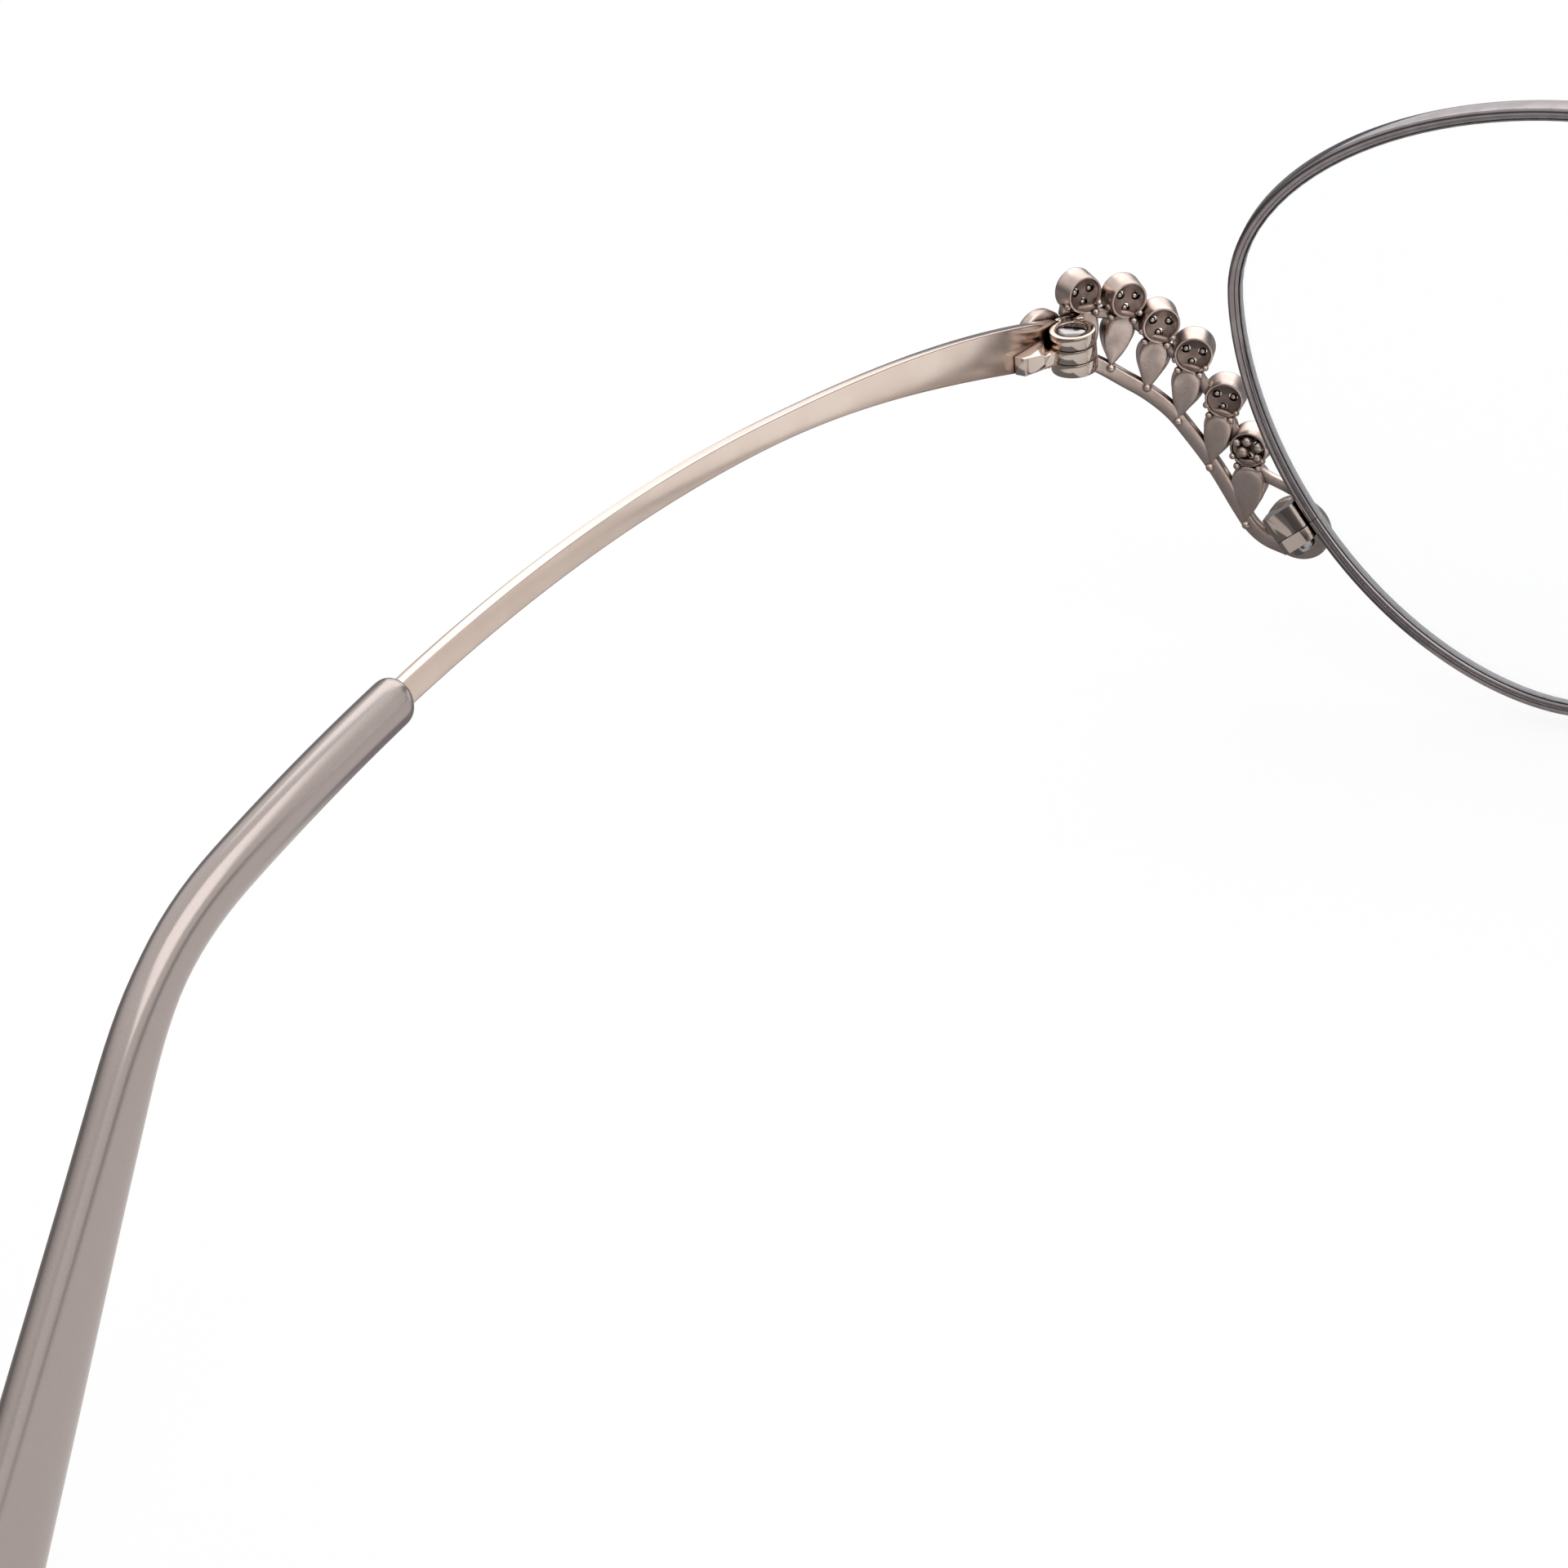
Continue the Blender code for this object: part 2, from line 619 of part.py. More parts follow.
def make_round_cup(index):
    """Round setting: a tapered cup with a pocket in front and a recess behind."""
    pocket = ROUND_STONE_RADIUS + STONE_CLEARANCE
    outer = pocket + CUP_WALL
    recess = 0.62 * outer
    profile = (
        (0.0, 0.4 * CASTING_BACK), (recess, 0.4 * CASTING_BACK), (recess, CASTING_BACK),
        (0.84 * outer, CASTING_BACK), (outer, -CUP_FRONT), (pocket, -CUP_FRONT),
        (pocket, -POCKET_FLOOR), (0.0, -POCKET_FLOOR),
    )
    return turned(profile, CUP_SIDES, setting_frame(index, ROUND_TURNS[index]))


def make_pear_cup(index):
    """Pear setting: a pocket in front and a domed solid back."""
    pocket = 2 * STONE_CLEARANCE
    wall = pocket + 2 * CUP_WALL
    length, width = PEAR_STONE_LENGTH, PEAR_STONE_WIDTH
    layers = (
        (0.0, 0.0, CASTING_BACK), (length, width, 0.6 * CASTING_BACK),
        (length + wall, width + wall, -CUP_FRONT), (length + pocket, width + pocket, -CUP_FRONT),
        (length + pocket, width + pocket, -POCKET_FLOOR), (0.0, 0.0, -POCKET_FLOOR),
    )
    return pear_rows(bmesh.new(), pear_frame(index), layers)


def make_stone(index, pear):
    """Cut stone resting on its pocket floor: flat table, girdle and pointed back."""
    low = -POCKET_FLOOR - SOLDER_GAP
    girdle = low - 0.6 * STONE_HEIGHT
    table = low - STONE_HEIGHT
    if not pear:
        r = ROUND_STONE_RADIUS
        profile = ((0.0, low), (r, girdle), (r, girdle - 0.08 * STONE_HEIGHT), (0.6 * r, table))
        return turned(profile, CUP_SIDES, setting_frame(index, ROUND_TURNS[index]))
    length, width = PEAR_STONE_LENGTH, PEAR_STONE_WIDTH
    layers = ((0.0, 0.0, low), (length, width, girdle), (length, width, girdle - 0.08 * STONE_HEIGHT),
              (0.6 * length, 0.6 * width, table))
    return pear_rows(bmesh.new(), pear_frame(index), layers)


def ribbon(edge, width, front, back, stations):
    """Flat bar on the casting above a line of (along, level) points."""
    curve = smooth_curve(edge)
    where = np.linspace(0.0, distances(curve)[-1], stations)
    line = at_distance(curve, where)
    run = np.gradient(line, axis=0)
    run /= np.linalg.norm(run, axis=1)[:, None]
    side = np.stack([run[:, 1], -run[:, 0]], -1)
    rings = []
    for p, n in zip(line, side):
        q = p + n * width
        rings.append([on_plan(p[0], p[1], back), on_plan(q[0], q[1], back),
                      on_plan(q[0], q[1], -front), on_plan(p[0], p[1], -front)])
    return loft(rings)


def make_disc(radius, along, level):
    """Plain domed disc that ends the casting."""
    profile = ((radius, DISC_BACK), (radius, -0.5 * DISC_FRONT), (0.7 * radius, -0.9 * DISC_FRONT),
               (0.0, -DISC_FRONT))
    return turned(profile, 16, plan_frame(along, level))


def make_ornament():
    """Casting with six round and six pear settings between a rail and a spine."""
    necks = []
    for i in range(len(ROUND_SEATS)):
        start, tip = np.array(ROUND_SEATS[i]), np.array(PEAR_TIPS[i])
        down = (tip - start) / np.linalg.norm(tip - start)
        necks.append(start + down * (ROUND_STONE_RADIUS + STONE_CLEARANCE + CUP_WALL))
    end = np.array((END_DISC_ALONG, END_DISC_LEVEL + 0.8 * END_DISC_RADIUS))
    start = necks[0] + 0.6 * (necks[0] - necks[1])
    line = [p - np.array((0.0, SPINE_WIDTH / 2)) for p in [start] + necks + [end]]
    rail = ribbon(RAIL_EDGE, RAIL_WIDTH, RAIL_FRONT, 0.8 * CASTING_BACK, 17)
    spine = ribbon(line, SPINE_WIDTH, SPINE_FRONT, 0.7 * CASTING_BACK, 14)
    plate = [(BOSS_ALONG - 0.6 * BOSS_RADIUS, HINGE_PLATE_LOW + BOSS_RADIUS / 3),
             (HINGE_PLATE_FROM, HINGE_PLATE_LOW)]
    tall = HINGE_PLATE_HIGH - HINGE_PLATE_LOW
    parts = [rail, spine, ribbon(plate, tall, SPINE_FRONT, 0.9 * CASTING_BACK, 6)]
    parts += [make_round_cup(i) for i in range(len(ROUND_SEATS))]
    parts += [make_pear_cup(i) for i in range(len(PEAR_TIPS))]
    parts.append(make_disc(END_DISC_RADIUS, END_DISC_ALONG, END_DISC_LEVEL))
    parts.append(make_disc(BOSS_RADIUS, BOSS_ALONG, BOSS_LEVEL))
    return join(parts)


def hinge_frame():
    return Matrix.Translation((HINGE_X, HINGE_Y, 0.0))


def make_hinge_front():
    """Fixed half of the hinge: a leaf on the casting with a top and a bottom knuckle."""
    frame = hinge_frame()
    near = CASTING_BACK + SOLDER_GAP
    far = near + LEAF_THICKNESS
    half = LEAF_HALF_HEIGHT
    rings = []
    start, end = LEAF_BEFORE_BOSS
    for along in np.linspace(BOSS_ALONG - start, BOSS_ALONG - end, 6):
        rings.append([on_plan(along, -half, near), on_plan(along, half, near),
                      on_plan(along, half, far), on_plan(along, -half, far)])
    leaf = loft(rings)
    low = KNUCKLE_HEIGHT / 2 + KNUCKLE_GAP
    high = low + KNUCKLE_HEIGHT
    web = []
    for along in np.linspace(BOSS_ALONG - WEB_BEFORE_BOSS[0], BOSS_ALONG - WEB_BEFORE_BOSS[1], 5):
        foot = on_plan(along, 0.0, (near + far) / 2)
        web.append((foot.x - HINGE_X, foot.y - HINGE_Y))
    for x, y in (web[-1], web[0]):
        web.append((0.9 * BARREL_RADIUS * x / math.hypot(x, y), 0.9 * BARREL_RADIUS * y / math.hypot(x, y)))
    parts = [leaf]
    for sign in (1.0, -1.0):
        level = sign * (low + high) / 2
        parts.append(turned([(BARREL_RADIUS, level - KNUCKLE_HEIGHT / 2),
                             (BARREL_RADIUS, level + KNUCKLE_HEIGHT / 2)], 20, frame))
        parts.append(prism(web, level - 0.47 * KNUCKLE_HEIGHT, level + 0.47 * KNUCKLE_HEIGHT, frame))
    bore = HINGE_SCREW_RADIUS + HINGE_SCREW_CLEARANCE
    head = HINGE_HEAD_RADIUS + HINGE_SCREW_CLEARANCE
    hole = turned([(bore, -2 * high), (bore, high - HINGE_HEAD_SEAT), (head, high - HINGE_HEAD_SEAT),
                   (head, 2 * high)], 16, frame)
    room = turned([(BARREL_RADIUS + KNUCKLE_ROOM, -low), (BARREL_RADIUS + KNUCKLE_ROOM, low)], 20, frame)
    return cut(join(parts), [hole, room])


def make_hinge_screw():
    """Slotted screw that is the hinge pin, its domed head sunk in the top knuckle."""
    high = 1.5 * KNUCKLE_HEIGHT + KNUCKLE_GAP
    seat = high - HINGE_HEAD_SEAT + SOLDER_GAP
    dome = high + 0.1 * KNUCKLE_HEIGHT
    profile = ((HINGE_SCREW_RADIUS, -high), (HINGE_SCREW_RADIUS, seat), (HINGE_HEAD_RADIUS, seat),
               (HINGE_HEAD_RADIUS, high - 0.1 * KNUCKLE_HEIGHT), (0.6 * HINGE_HEAD_RADIUS, dome))
    body = turned(profile, 16, hinge_frame())
    slot = block((3 * HINGE_HEAD_RADIUS, 0.28 * HINGE_HEAD_RADIUS, 0.3 * KNUCKLE_HEIGHT),
                 hinge_frame() @ Matrix.Rotation(math.radians(13.0), 4, "Z"), (0.0, 0.0, dome))
    return cut(body, [slot])


# Temple: the blade lies just outside the hinge barrel and then follows its arch
BLADE_OFFSET = BARREL_RADIUS + 2 * SOLDER_GAP + BLADE_THICKNESS / 2


def temple_path():
    """Centre line of the temple: distance from the hinge and point, close together."""
    step = 0.25e-3
    end = TEMPLE_LENGTH - BUTT_AHEAD
    where = np.arange(-BUTT_AHEAD, end + step / 2, step)
    place = np.array((HINGE_X + BLADE_OFFSET, HINGE_Y, 0.0))
    points = []
    front, back = 1.0 / ARCH_RADIUS_FRONT, 1.0 / ARCH_RADIUS_BACK
    for s in where:
        points.append(place.copy())
        run = max(s, 0.0)
        spread = SPREAD_AT_BACK + (SPREAD_AT_HINGE - SPREAD_AT_BACK) * max(1.0 - run / SPREAD_LENGTH, 0.0) ** 2
        turn = front * run + (back - front) * run ** 2 / (2 * EAR_BEND_AT)
        arch = math.radians(CLIMB_AT_HINGE) - turn
        bend = min(max((run - EAR_BEND_AT) / EAR_BEND_LENGTH + 0.5, 0.0), 1.0)
        bend = bend * bend * (3 - 2 * bend)
        climb = arch * (1 - bend) - math.radians(EAR_DROP) * bend
        spread = math.radians(spread)
        place += step * np.array((math.sin(spread) * math.cos(climb),
                                  math.cos(spread) * math.cos(climb), math.sin(climb)))
    points = np.array(points)
    points -= points[int(round(BUTT_AHEAD / step))] - np.array((HINGE_X + BLADE_OFFSET, HINGE_Y, 0.0))
    return where, points


def temple_frame(s):
    """Frame on the temple at a distance from the hinge: along, outward, up."""
    where, points = temple_path()
    here = np.array([np.interp(s, where, points[:, i]) for i in range(3)])
    step = 1.0e-3
    low, high = max(s - step, where[0]), min(s + step, where[-1])
    ahead = np.array([np.interp(high, where, points[:, i]) for i in range(3)])
    behind = np.array([np.interp(low, where, points[:, i]) for i in range(3)])
    along = Vector(ahead - behind).normalized()
    outward = along.cross(Vector((0.0, 0.0, 1.0))).normalized()
    return frame_at(Vector(here), along, outward, outward.cross(along))


def ease(value):
    value = min(max(value, 0.0), 1.0)
    return value * value * (3 - 2 * value)


def core_end():
    return TEMPLE_LENGTH - BUTT_AHEAD - TIP_WALL_BEYOND_CORE


def blade_section(s, grow=0.0):
    """Half height and half thickness of the blade or of its core inside the tip."""
    taper = 1.0 - ease(s / BLADE_TAPER_LENGTH)
    height = BLADE_HEIGHT + (BLADE_BUTT_HEIGHT - BLADE_HEIGHT) * taper
    inside = ease((s - TIP_FROM) / TIP_NECK_HEIGHT)
    height += (CORE_HEIGHT - BLADE_HEIGHT) * inside
    return height / 2 + grow, BLADE_THICKNESS / 2 + grow


def blade_ring(s, brk, grow=0.0):
    """Rectangle with broken corners round the temple's centre line."""
    frame = temple_frame(s)
    tall, thick = blade_section(s, grow)
    corners = ((thick, tall - brk), (thick - brk, tall), (brk - thick, tall), (-thick, tall - brk),
               (-thick, brk - tall), (brk - thick, -tall), (thick - brk, -tall), (thick, brk - tall))
    return [frame @ Vector((0.0, y, z)) for y, z in corners]


def stations(start, end, spacing, extra=()):
    count = max(int(round((end - start) / spacing)), 2)
    return sorted(set(np.linspace(start, end, count + 1)) | set(extra))


def make_blade():
    """Metal strip of the temple, whose core runs on inside the tip."""
    tip_run = stations(TIP_FROM + TIP_NECK_HEIGHT, core_end(), 3.6e-3)
    open_run = stations(0.0, TIP_FROM, 4.0e-3)
    where = [-BUTT_AHEAD] + open_run + tip_run
    return loft([blade_ring(s, BLADE_EDGE_BREAK) for s in where])


def tip_section(s):
    """Half height and half thickness of the tip."""
    end = TEMPLE_LENGTH - BUTT_AHEAD
    to_bend = ease((s - TIP_FROM) / (EAR_BEND_AT - TIP_FROM))
    tall = TIP_NECK_HEIGHT + (TIP_BEND_HEIGHT - TIP_NECK_HEIGHT) * to_bend
    thick = TIP_NECK_THICKNESS + (TIP_BEND_THICKNESS - TIP_NECK_THICKNESS) * to_bend
    flare = min(max((s - EAR_BEND_AT) / (end - EAR_BEND_AT), 0.0), 1.0) ** 0.9
    tall += (TIP_END_HEIGHT - TIP_BEND_HEIGHT) * flare
    thick += (TIP_END_THICKNESS - TIP_BEND_THICKNESS) * flare
    return tall / 2, thick / 2


def tip_ring(s, share=1.0):
    """Rounded section of the tip, drawn in by a share at its ends."""
    frame = temple_frame(s)
    tall, thick = tip_section(s)
    ring = []
    for k in range(12):
        angle = 2 * math.pi * (k + 0.5) / 12
        c, v = math.cos(angle), math.sin(angle)
        y = thick * share * math.copysign(abs(c) ** 0.8, c)
        z = tall * share * math.copysign(abs(v) ** 0.8, v)
        ring.append(frame @ Vector((0.0, y, z)))
    return ring


def make_tip():
    """Moulded tip, bored for the core, with a rounded front and a round end."""
    end = TEMPLE_LENGTH - BUTT_AHEAD
    tall = TIP_END_HEIGHT / 2
    nose = 0.35 * TIP_NECK_THICKNESS
    rings = [(TIP_FROM, 0.62), (TIP_FROM + 0.35 * nose, 0.86), (TIP_FROM + nose, 1.0)]
    for s in stations(TIP_FROM + 3 * nose, end - tall, 3.4e-3):
        rings.append((s, 1.0))
    for turn in (30.0, 55.0, 75.0):
        angle = math.radians(turn)
        rings.append((end - tall + tall * math.sin(angle), math.cos(angle)))
    outer = [tip_ring(s, share) for s, share in rings]
    bm = loft(outer)
    where = [TIP_FROM - nose, TIP_FROM] + stations(TIP_FROM + TIP_NECK_HEIGHT, core_end() + CORE_CLEARANCE, 3.6e-3)
    bore = loft([blade_ring(s, BLADE_EDGE_BREAK, CORE_CLEARANCE) for s in where])
    return cut(bm, [bore])


def make_hinge_temple():
    """Moving half of the hinge: the middle knuckle, and the bracket that rises beside the blade."""
    frame = hinge_frame()
    inner = BARREL_RADIUS + SOLDER_GAP
    lean = math.tan(math.radians(0.94 * SPREAD_AT_HINGE))
    half = KNUCKLE_HEIGHT / 2
    r = BARREL_RADIUS
    end = BRACKET_LENGTH
    root = np.array((0.21 * r, 0.93 * r))
    apex = np.array((inner + 0.65 * r * lean, 0.65 * r))
    outside = np.array((inner + end * lean, end))
    corner = outside - np.array((BRACKET_END_THICKNESS, 0.0))
    bend = root + 0.4 * (corner - root)
    arm = [(0.0, 0.0), (inner, 0.0), tuple(apex), tuple(bend), tuple(root)]
    back = 0.06 * r
    plan = [bend - (0.0, back), corner, outside, apex - (0.0, back)]
    low, high = BRACKET_END_LEVELS
    lows = (-0.96 * half, low, low, -0.96 * half)
    highs = (0.58 * high, high, 1.06 * high, 0.86 * high)
    wedge = loft([[frame @ Vector((p[0], p[1], level)) for p, level in zip(plan, levels)]
                  for levels in (lows, highs)])
    body = turned([(r, -half), (r, half)], 20, frame)
    body = join([body, prism(arm, -0.96 * half, 0.96 * half, frame), wedge])
    bore = HINGE_SCREW_RADIUS + HINGE_SCREW_CLEARANCE
    return cut(body, [turned([(bore, -2 * half), (bore, 2 * half)], 16, frame)])


def pad_frame():
    """Frame of the nose pad: its length, its width (the screw's axis) and away from the nose."""
    away = -Vector(PAD_FACING).normalized()
    width = Vector((0.0, 0.0, 1.0)).cross(away).normalized()
    length = width.cross(away)
    centre = Vector((EYE_CENTRE - LENS_WIDTH / 2 + PAD_BESIDE_LENS, PAD_BEHIND_LENS, PAD_LEVEL))
    return frame_at(centre, length, width, away)


def make_nose_pad():
    """Soft oval pad with a lug on its back that the screw passes through."""
    frame = pad_frame()
    rows = []
    bm = bmesh.new()
    for share, level in ((0.0, -0.55), (0.6, -0.48), (0.92, -0.25), (1.0, 0.0), (0.9, 0.24), (0.0, 0.36)):
        if share == 0.0:
            rows.append([bm.verts.new(frame @ Vector((0.0, 0.0, level * PAD_THICKNESS)))])
            continue
        ring = []
        for k in range(16):
            angle = 2 * math.pi * k / 16
            ring.append(bm.verts.new(frame @ Vector((0.5 * PAD_LENGTH * share * math.cos(angle),
                                                     0.5 * PAD_WIDTH * share * math.sin(angle),
                                                     level * PAD_THICKNESS))))
        rows.append(ring)
    skin_rows(bm, rows)
    lug = block((PAD_LUG_LENGTH, PAD_LUG_WIDTH, PAD_LUG_TOP), frame, (0.0, 0.0, PAD_LUG_TOP / 2))
    bore = PAD_SCREW_RADIUS + PAD_SCREW_CLEARANCE
    hole = turned([(bore, -PAD_BOX_WIDTH), (bore, PAD_BOX_WIDTH)], 12, pad_screw_frame())
    return cut(join([bm, lug]), [hole])


def pad_screw_frame():
    """Frame whose third axis is the pad screw's axis."""
    return pad_frame() @ Matrix.Translation((0.0, 0.0, PAD_AXIS_BACK)) @ Matrix.Rotation(-math.pi / 2, 4, "X")


def make_pad_box():
    """Open box on the pad arm that holds the pad's lug."""
    frame = pad_frame()
    top = PAD_BOX_FROM + PAD_BOX_HEIGHT
    body = block((PAD_BOX_LENGTH, PAD_BOX_WIDTH, PAD_BOX_HEIGHT), frame, (0.0, 0.0, (PAD_BOX_FROM + top) / 2))
    roof = top - PAD_BOX_ROOF
    room = block((PAD_LUG_LENGTH + 2 * PAD_LUG_ROOM, PAD_LUG_WIDTH + 2 * PAD_SIDE_CLEARANCE, 2 * (roof - PAD_BOX_FROM)),
                 frame, (0.0, 0.0, PAD_BOX_FROM))
    bore = PAD_SCREW_RADIUS + PAD_SCREW_CLEARANCE
    hole = turned([(bore, -PAD_BOX_WIDTH), (bore, PAD_BOX_WIDTH)], 12, pad_screw_frame())
    return cut(body, [room, hole])


def make_pad_screw():
    half = PAD_BOX_WIDTH / 2
    seat = half + SOLDER_GAP
    profile = ((PAD_SCREW_RADIUS, -half), (PAD_SCREW_RADIUS, seat), (PAD_SCREW_HEAD_RADIUS, seat),
               (PAD_SCREW_HEAD_RADIUS, seat + 0.6 * PAD_SCREW_HEAD_HEIGHT),
               (0.6 * PAD_SCREW_HEAD_RADIUS, seat + PAD_SCREW_HEAD_HEIGHT))
    return turned(profile, 12, pad_screw_frame())


def make_pad_arm():
    """Wire from the inner edge of the rim, looping back to the pad box."""
    dense = lens_outline()
    spot = dense[int(round(PAD_ARM_ROOT_ANGLE / 360.0 * len(dense)))]
    root = on_shell(spot[0], spot[1], RIM_DEPTH / 2 + SOLDER_GAP)
    away = pad_frame().to_3x3() @ Vector((0.0, 0.0, 1.0))
    roof = pad_frame() @ Vector((0.0, 0.0, PAD_BOX_FROM + PAD_BOX_HEIGHT + SOLDER_GAP))
    back = (on_shell(spot[0], spot[1], RIM_DEPTH) - on_shell(spot[0], spot[1])).normalized()
    wire = PAD_ARM_RADIUS
    route = [root, root + back * 2.0 * wire, root + back * 5.0 * wire + away * wire,
             (root + roof) / 2 + back * 4.0 * wire + away * 4.0 * wire,
             roof + away * 3.0 * wire, roof + away * 0.0]
    curve = smooth_curve([tuple(p) for p in route], 12)
    line = at_distance(curve, np.linspace(0.0, distances(curve)[-1], 13))
    rings = []
    for i, here in enumerate(line):
        if i == 0:
            along = back
        elif i == len(line) - 1:
            along = -away
        else:
            along = Vector(line[i + 1] - line[i - 1]).normalized()
        side = along.cross(Vector((0.0, 0.0, 1.0))).normalized()
        up = side.cross(along)
        rings.append([Vector(here) + side * (wire * math.cos(k * math.pi / 4)) + up * (wire * math.sin(k * math.pi / 4))
                      for k in range(8)])
    return loft(rings)


def stand_on_floor():
    """Shift the frame so that it stands on Z = 0 with the origin under its middle."""
    bpy.context.view_layer.update()
    corners = []
    for item in bpy.data.objects:
        if item.type == "MESH":
            corners += [item.matrix_world @ v.co for v in item.data.vertices]
    low = [min(c[i] for c in corners) for i in range(3)]
    high = [max(c[i] for c in corners) for i in range(3)]
    shift = Vector((-(low[0] + high[0]) / 2, -(low[1] + high[1]) / 2, -low[2]))
    for item in bpy.data.objects:
        if item.type == "MESH" and not item.parent:
            item.data.transform(Matrix.Translation(shift))
        elif item.type == "EMPTY":
            item.location += shift
    bpy.context.view_layer.update()
    print("overall size", [round(1000 * (high[i] - low[i]), 2) for i in range(3)], "mm")
    print("shift from the working frame", [round(1000 * v, 3) for v in shift], "mm")
    return shift


def main():
    clear_scene()
    rose = make_material("rose_metal", (0.62, 0.50, 0.43), 0.22, 1.0)
    casting = make_material("casting_metal", (0.50, 0.43, 0.38), 0.35, 1.0)
    eyewire = make_material("eyewire_metal", (0.45, 0.40, 0.38), 0.28, 1.0)
    steel = make_material("screw_steel", (0.55, 0.53, 0.52), 0.25, 1.0)
    pearly = make_material("pearly_plastic", (0.45, 0.38, 0.34), 0.30, 0.0)
    crystal = make_material("crystal", (0.92, 0.93, 0.95), 0.05, 0.0, 0.6)
    clear = make_material("clear_lens", (0.95, 0.97, 0.97), 0.03, 0.0, 0.25)
    soft = make_material("clear_pad", (0.88, 0.88, 0.86), 0.35, 0.0, 0.7)

    hinge_axes = add_axes("hinge_axis", (HINGE_X, HINGE_Y, 0.0))
    pad_pivot = pad_screw_frame().to_translation()
    pad_axes = add_axes("pad_axis", pad_pivot)

    add_pair("rim", make_rim(), eyewire)
    add_pair("lens", make_lens(), clear)
    upper, lower, screw = make_closing_block()
    add_pair("block_upper", upper, rose)
    add_pair("block_lower", lower, rose)
    add_pair("block_screw", screw, steel)
    add_object("bridge", make_bridge(), rose)
    add_pair("ornament", make_ornament(), casting)
    for i in range(len(ROUND_SEATS)):
        add_pair("round_stone_%d" % (i + 1), make_stone(i, False), crystal)
        add_pair("pear_stone_%d" % (i + 1), make_stone(i, True), crystal)
    add_pair("hinge_front", make_hinge_front(), rose)
    add_pair("hinge_screw", make_hinge_screw(), steel)
    add_pair("hinge_temple", make_hinge_temple(), rose, hinge_axes)
    add_pair("temple_blade", make_blade(), rose, hinge_axes)
    add_pair("temple_tip", make_tip(), pearly, hinge_axes)
    add_pair("pad_arm", make_pad_arm(), rose)
    add_pair("pad_box", make_pad_box(), rose)
    add_pair("pad_screw", make_pad_screw(), steel)
    add_pair("nose_pad", make_nose_pad(), soft, pad_axes)

    stand_on_floor()
    for item in list(hinge_axes.values()) + list(pad_axes.values()):
        print(item.name, [round(v, 6) for v in item.location])
    axis = pad_frame().to_3x3() @ Vector((0.0, 1.0, 0.0))
    print("left pad screw axis", [round(v, 6) for v in axis])


main()
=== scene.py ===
# %% [markdown]
# # A metal eyeglass frame with jewelled end pieces
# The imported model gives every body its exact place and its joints. This lesson
# dresses it: each piece is made again with finer rounding, and each finish is a
# node material. Sizes are in millimetres and are turned into metres by one
# helper. The wearer's left is +X, the back of the frame is +Y and up is +Z.

# %% Load the frame
import json
import math

import bmesh
import bpy
import numpy as np
from mathutils import Matrix, Vector

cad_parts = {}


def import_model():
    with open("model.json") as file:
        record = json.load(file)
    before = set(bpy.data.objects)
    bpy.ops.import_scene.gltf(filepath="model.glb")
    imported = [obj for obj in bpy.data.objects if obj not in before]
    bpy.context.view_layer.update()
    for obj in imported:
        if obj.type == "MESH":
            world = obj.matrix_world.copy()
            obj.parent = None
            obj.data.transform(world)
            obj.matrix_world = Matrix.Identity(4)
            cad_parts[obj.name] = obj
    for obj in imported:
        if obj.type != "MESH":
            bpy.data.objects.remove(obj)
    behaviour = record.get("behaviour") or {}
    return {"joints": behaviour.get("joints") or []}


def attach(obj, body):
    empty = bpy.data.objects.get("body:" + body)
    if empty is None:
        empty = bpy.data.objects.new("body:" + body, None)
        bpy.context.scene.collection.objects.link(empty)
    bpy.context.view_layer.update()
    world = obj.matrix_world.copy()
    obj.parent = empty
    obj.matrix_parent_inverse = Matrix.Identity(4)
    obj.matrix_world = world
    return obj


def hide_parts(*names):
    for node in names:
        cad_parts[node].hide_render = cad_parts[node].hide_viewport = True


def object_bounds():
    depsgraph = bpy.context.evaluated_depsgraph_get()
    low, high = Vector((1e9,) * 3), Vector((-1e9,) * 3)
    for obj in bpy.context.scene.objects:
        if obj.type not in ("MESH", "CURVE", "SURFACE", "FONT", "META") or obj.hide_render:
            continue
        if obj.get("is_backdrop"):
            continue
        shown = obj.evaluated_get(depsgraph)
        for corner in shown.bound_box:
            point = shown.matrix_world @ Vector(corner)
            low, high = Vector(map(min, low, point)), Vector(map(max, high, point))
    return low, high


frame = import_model()
cad_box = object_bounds()
joints = {joint["name"]: joint for joint in frame["joints"]}

# %% [markdown]
# Everything is drawn around one working origin: the middle of the nose, with the
# hinge barrels' middle at height 0. The left hinge joint says where that origin
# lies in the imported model, so the pieces follow the solids wherever they stand.

# %% Working origin
MM = 0.001
HINGE = Vector((68.65, 11.56, 0.0))
ORIGIN = Vector(joints["left_temple_fold"]["pos_m"]) - HINGE * MM
UP = Vector((0.0, 0.0, 1.0))
print("working origin:", [round(v, 6) for v in ORIGIN])


def world(point):
    """Millimetres in the working frame to metres in the model's frame."""
    return ORIGIN + Vector(point) * MM


def frame_at(origin, x_axis, y_axis, z_axis):
    """Matrix that places a frame by its origin and its three axes."""
    turned = Matrix((x_axis, y_axis, z_axis)).transposed().to_4x4()
    return Matrix.Translation(origin) @ turned


def placed(place, x, y, z):
    """Point that is given in millimetres in a placed frame."""
    return place @ Vector((x * MM, y * MM, z * MM))


def shifted(place, x, y, z):
    """Placed frame, moved by millimetres along its own axes."""
    return place @ Matrix.Translation((x * MM, y * MM, z * MM))


# %% [markdown]
# ## Camera
# The photograph was taken from behind, above and a little to the wearer's right.
# Its lens and place were worked out from the temple's known length and from the
# ellipse that the eyewire makes, so the camera needs no shift.

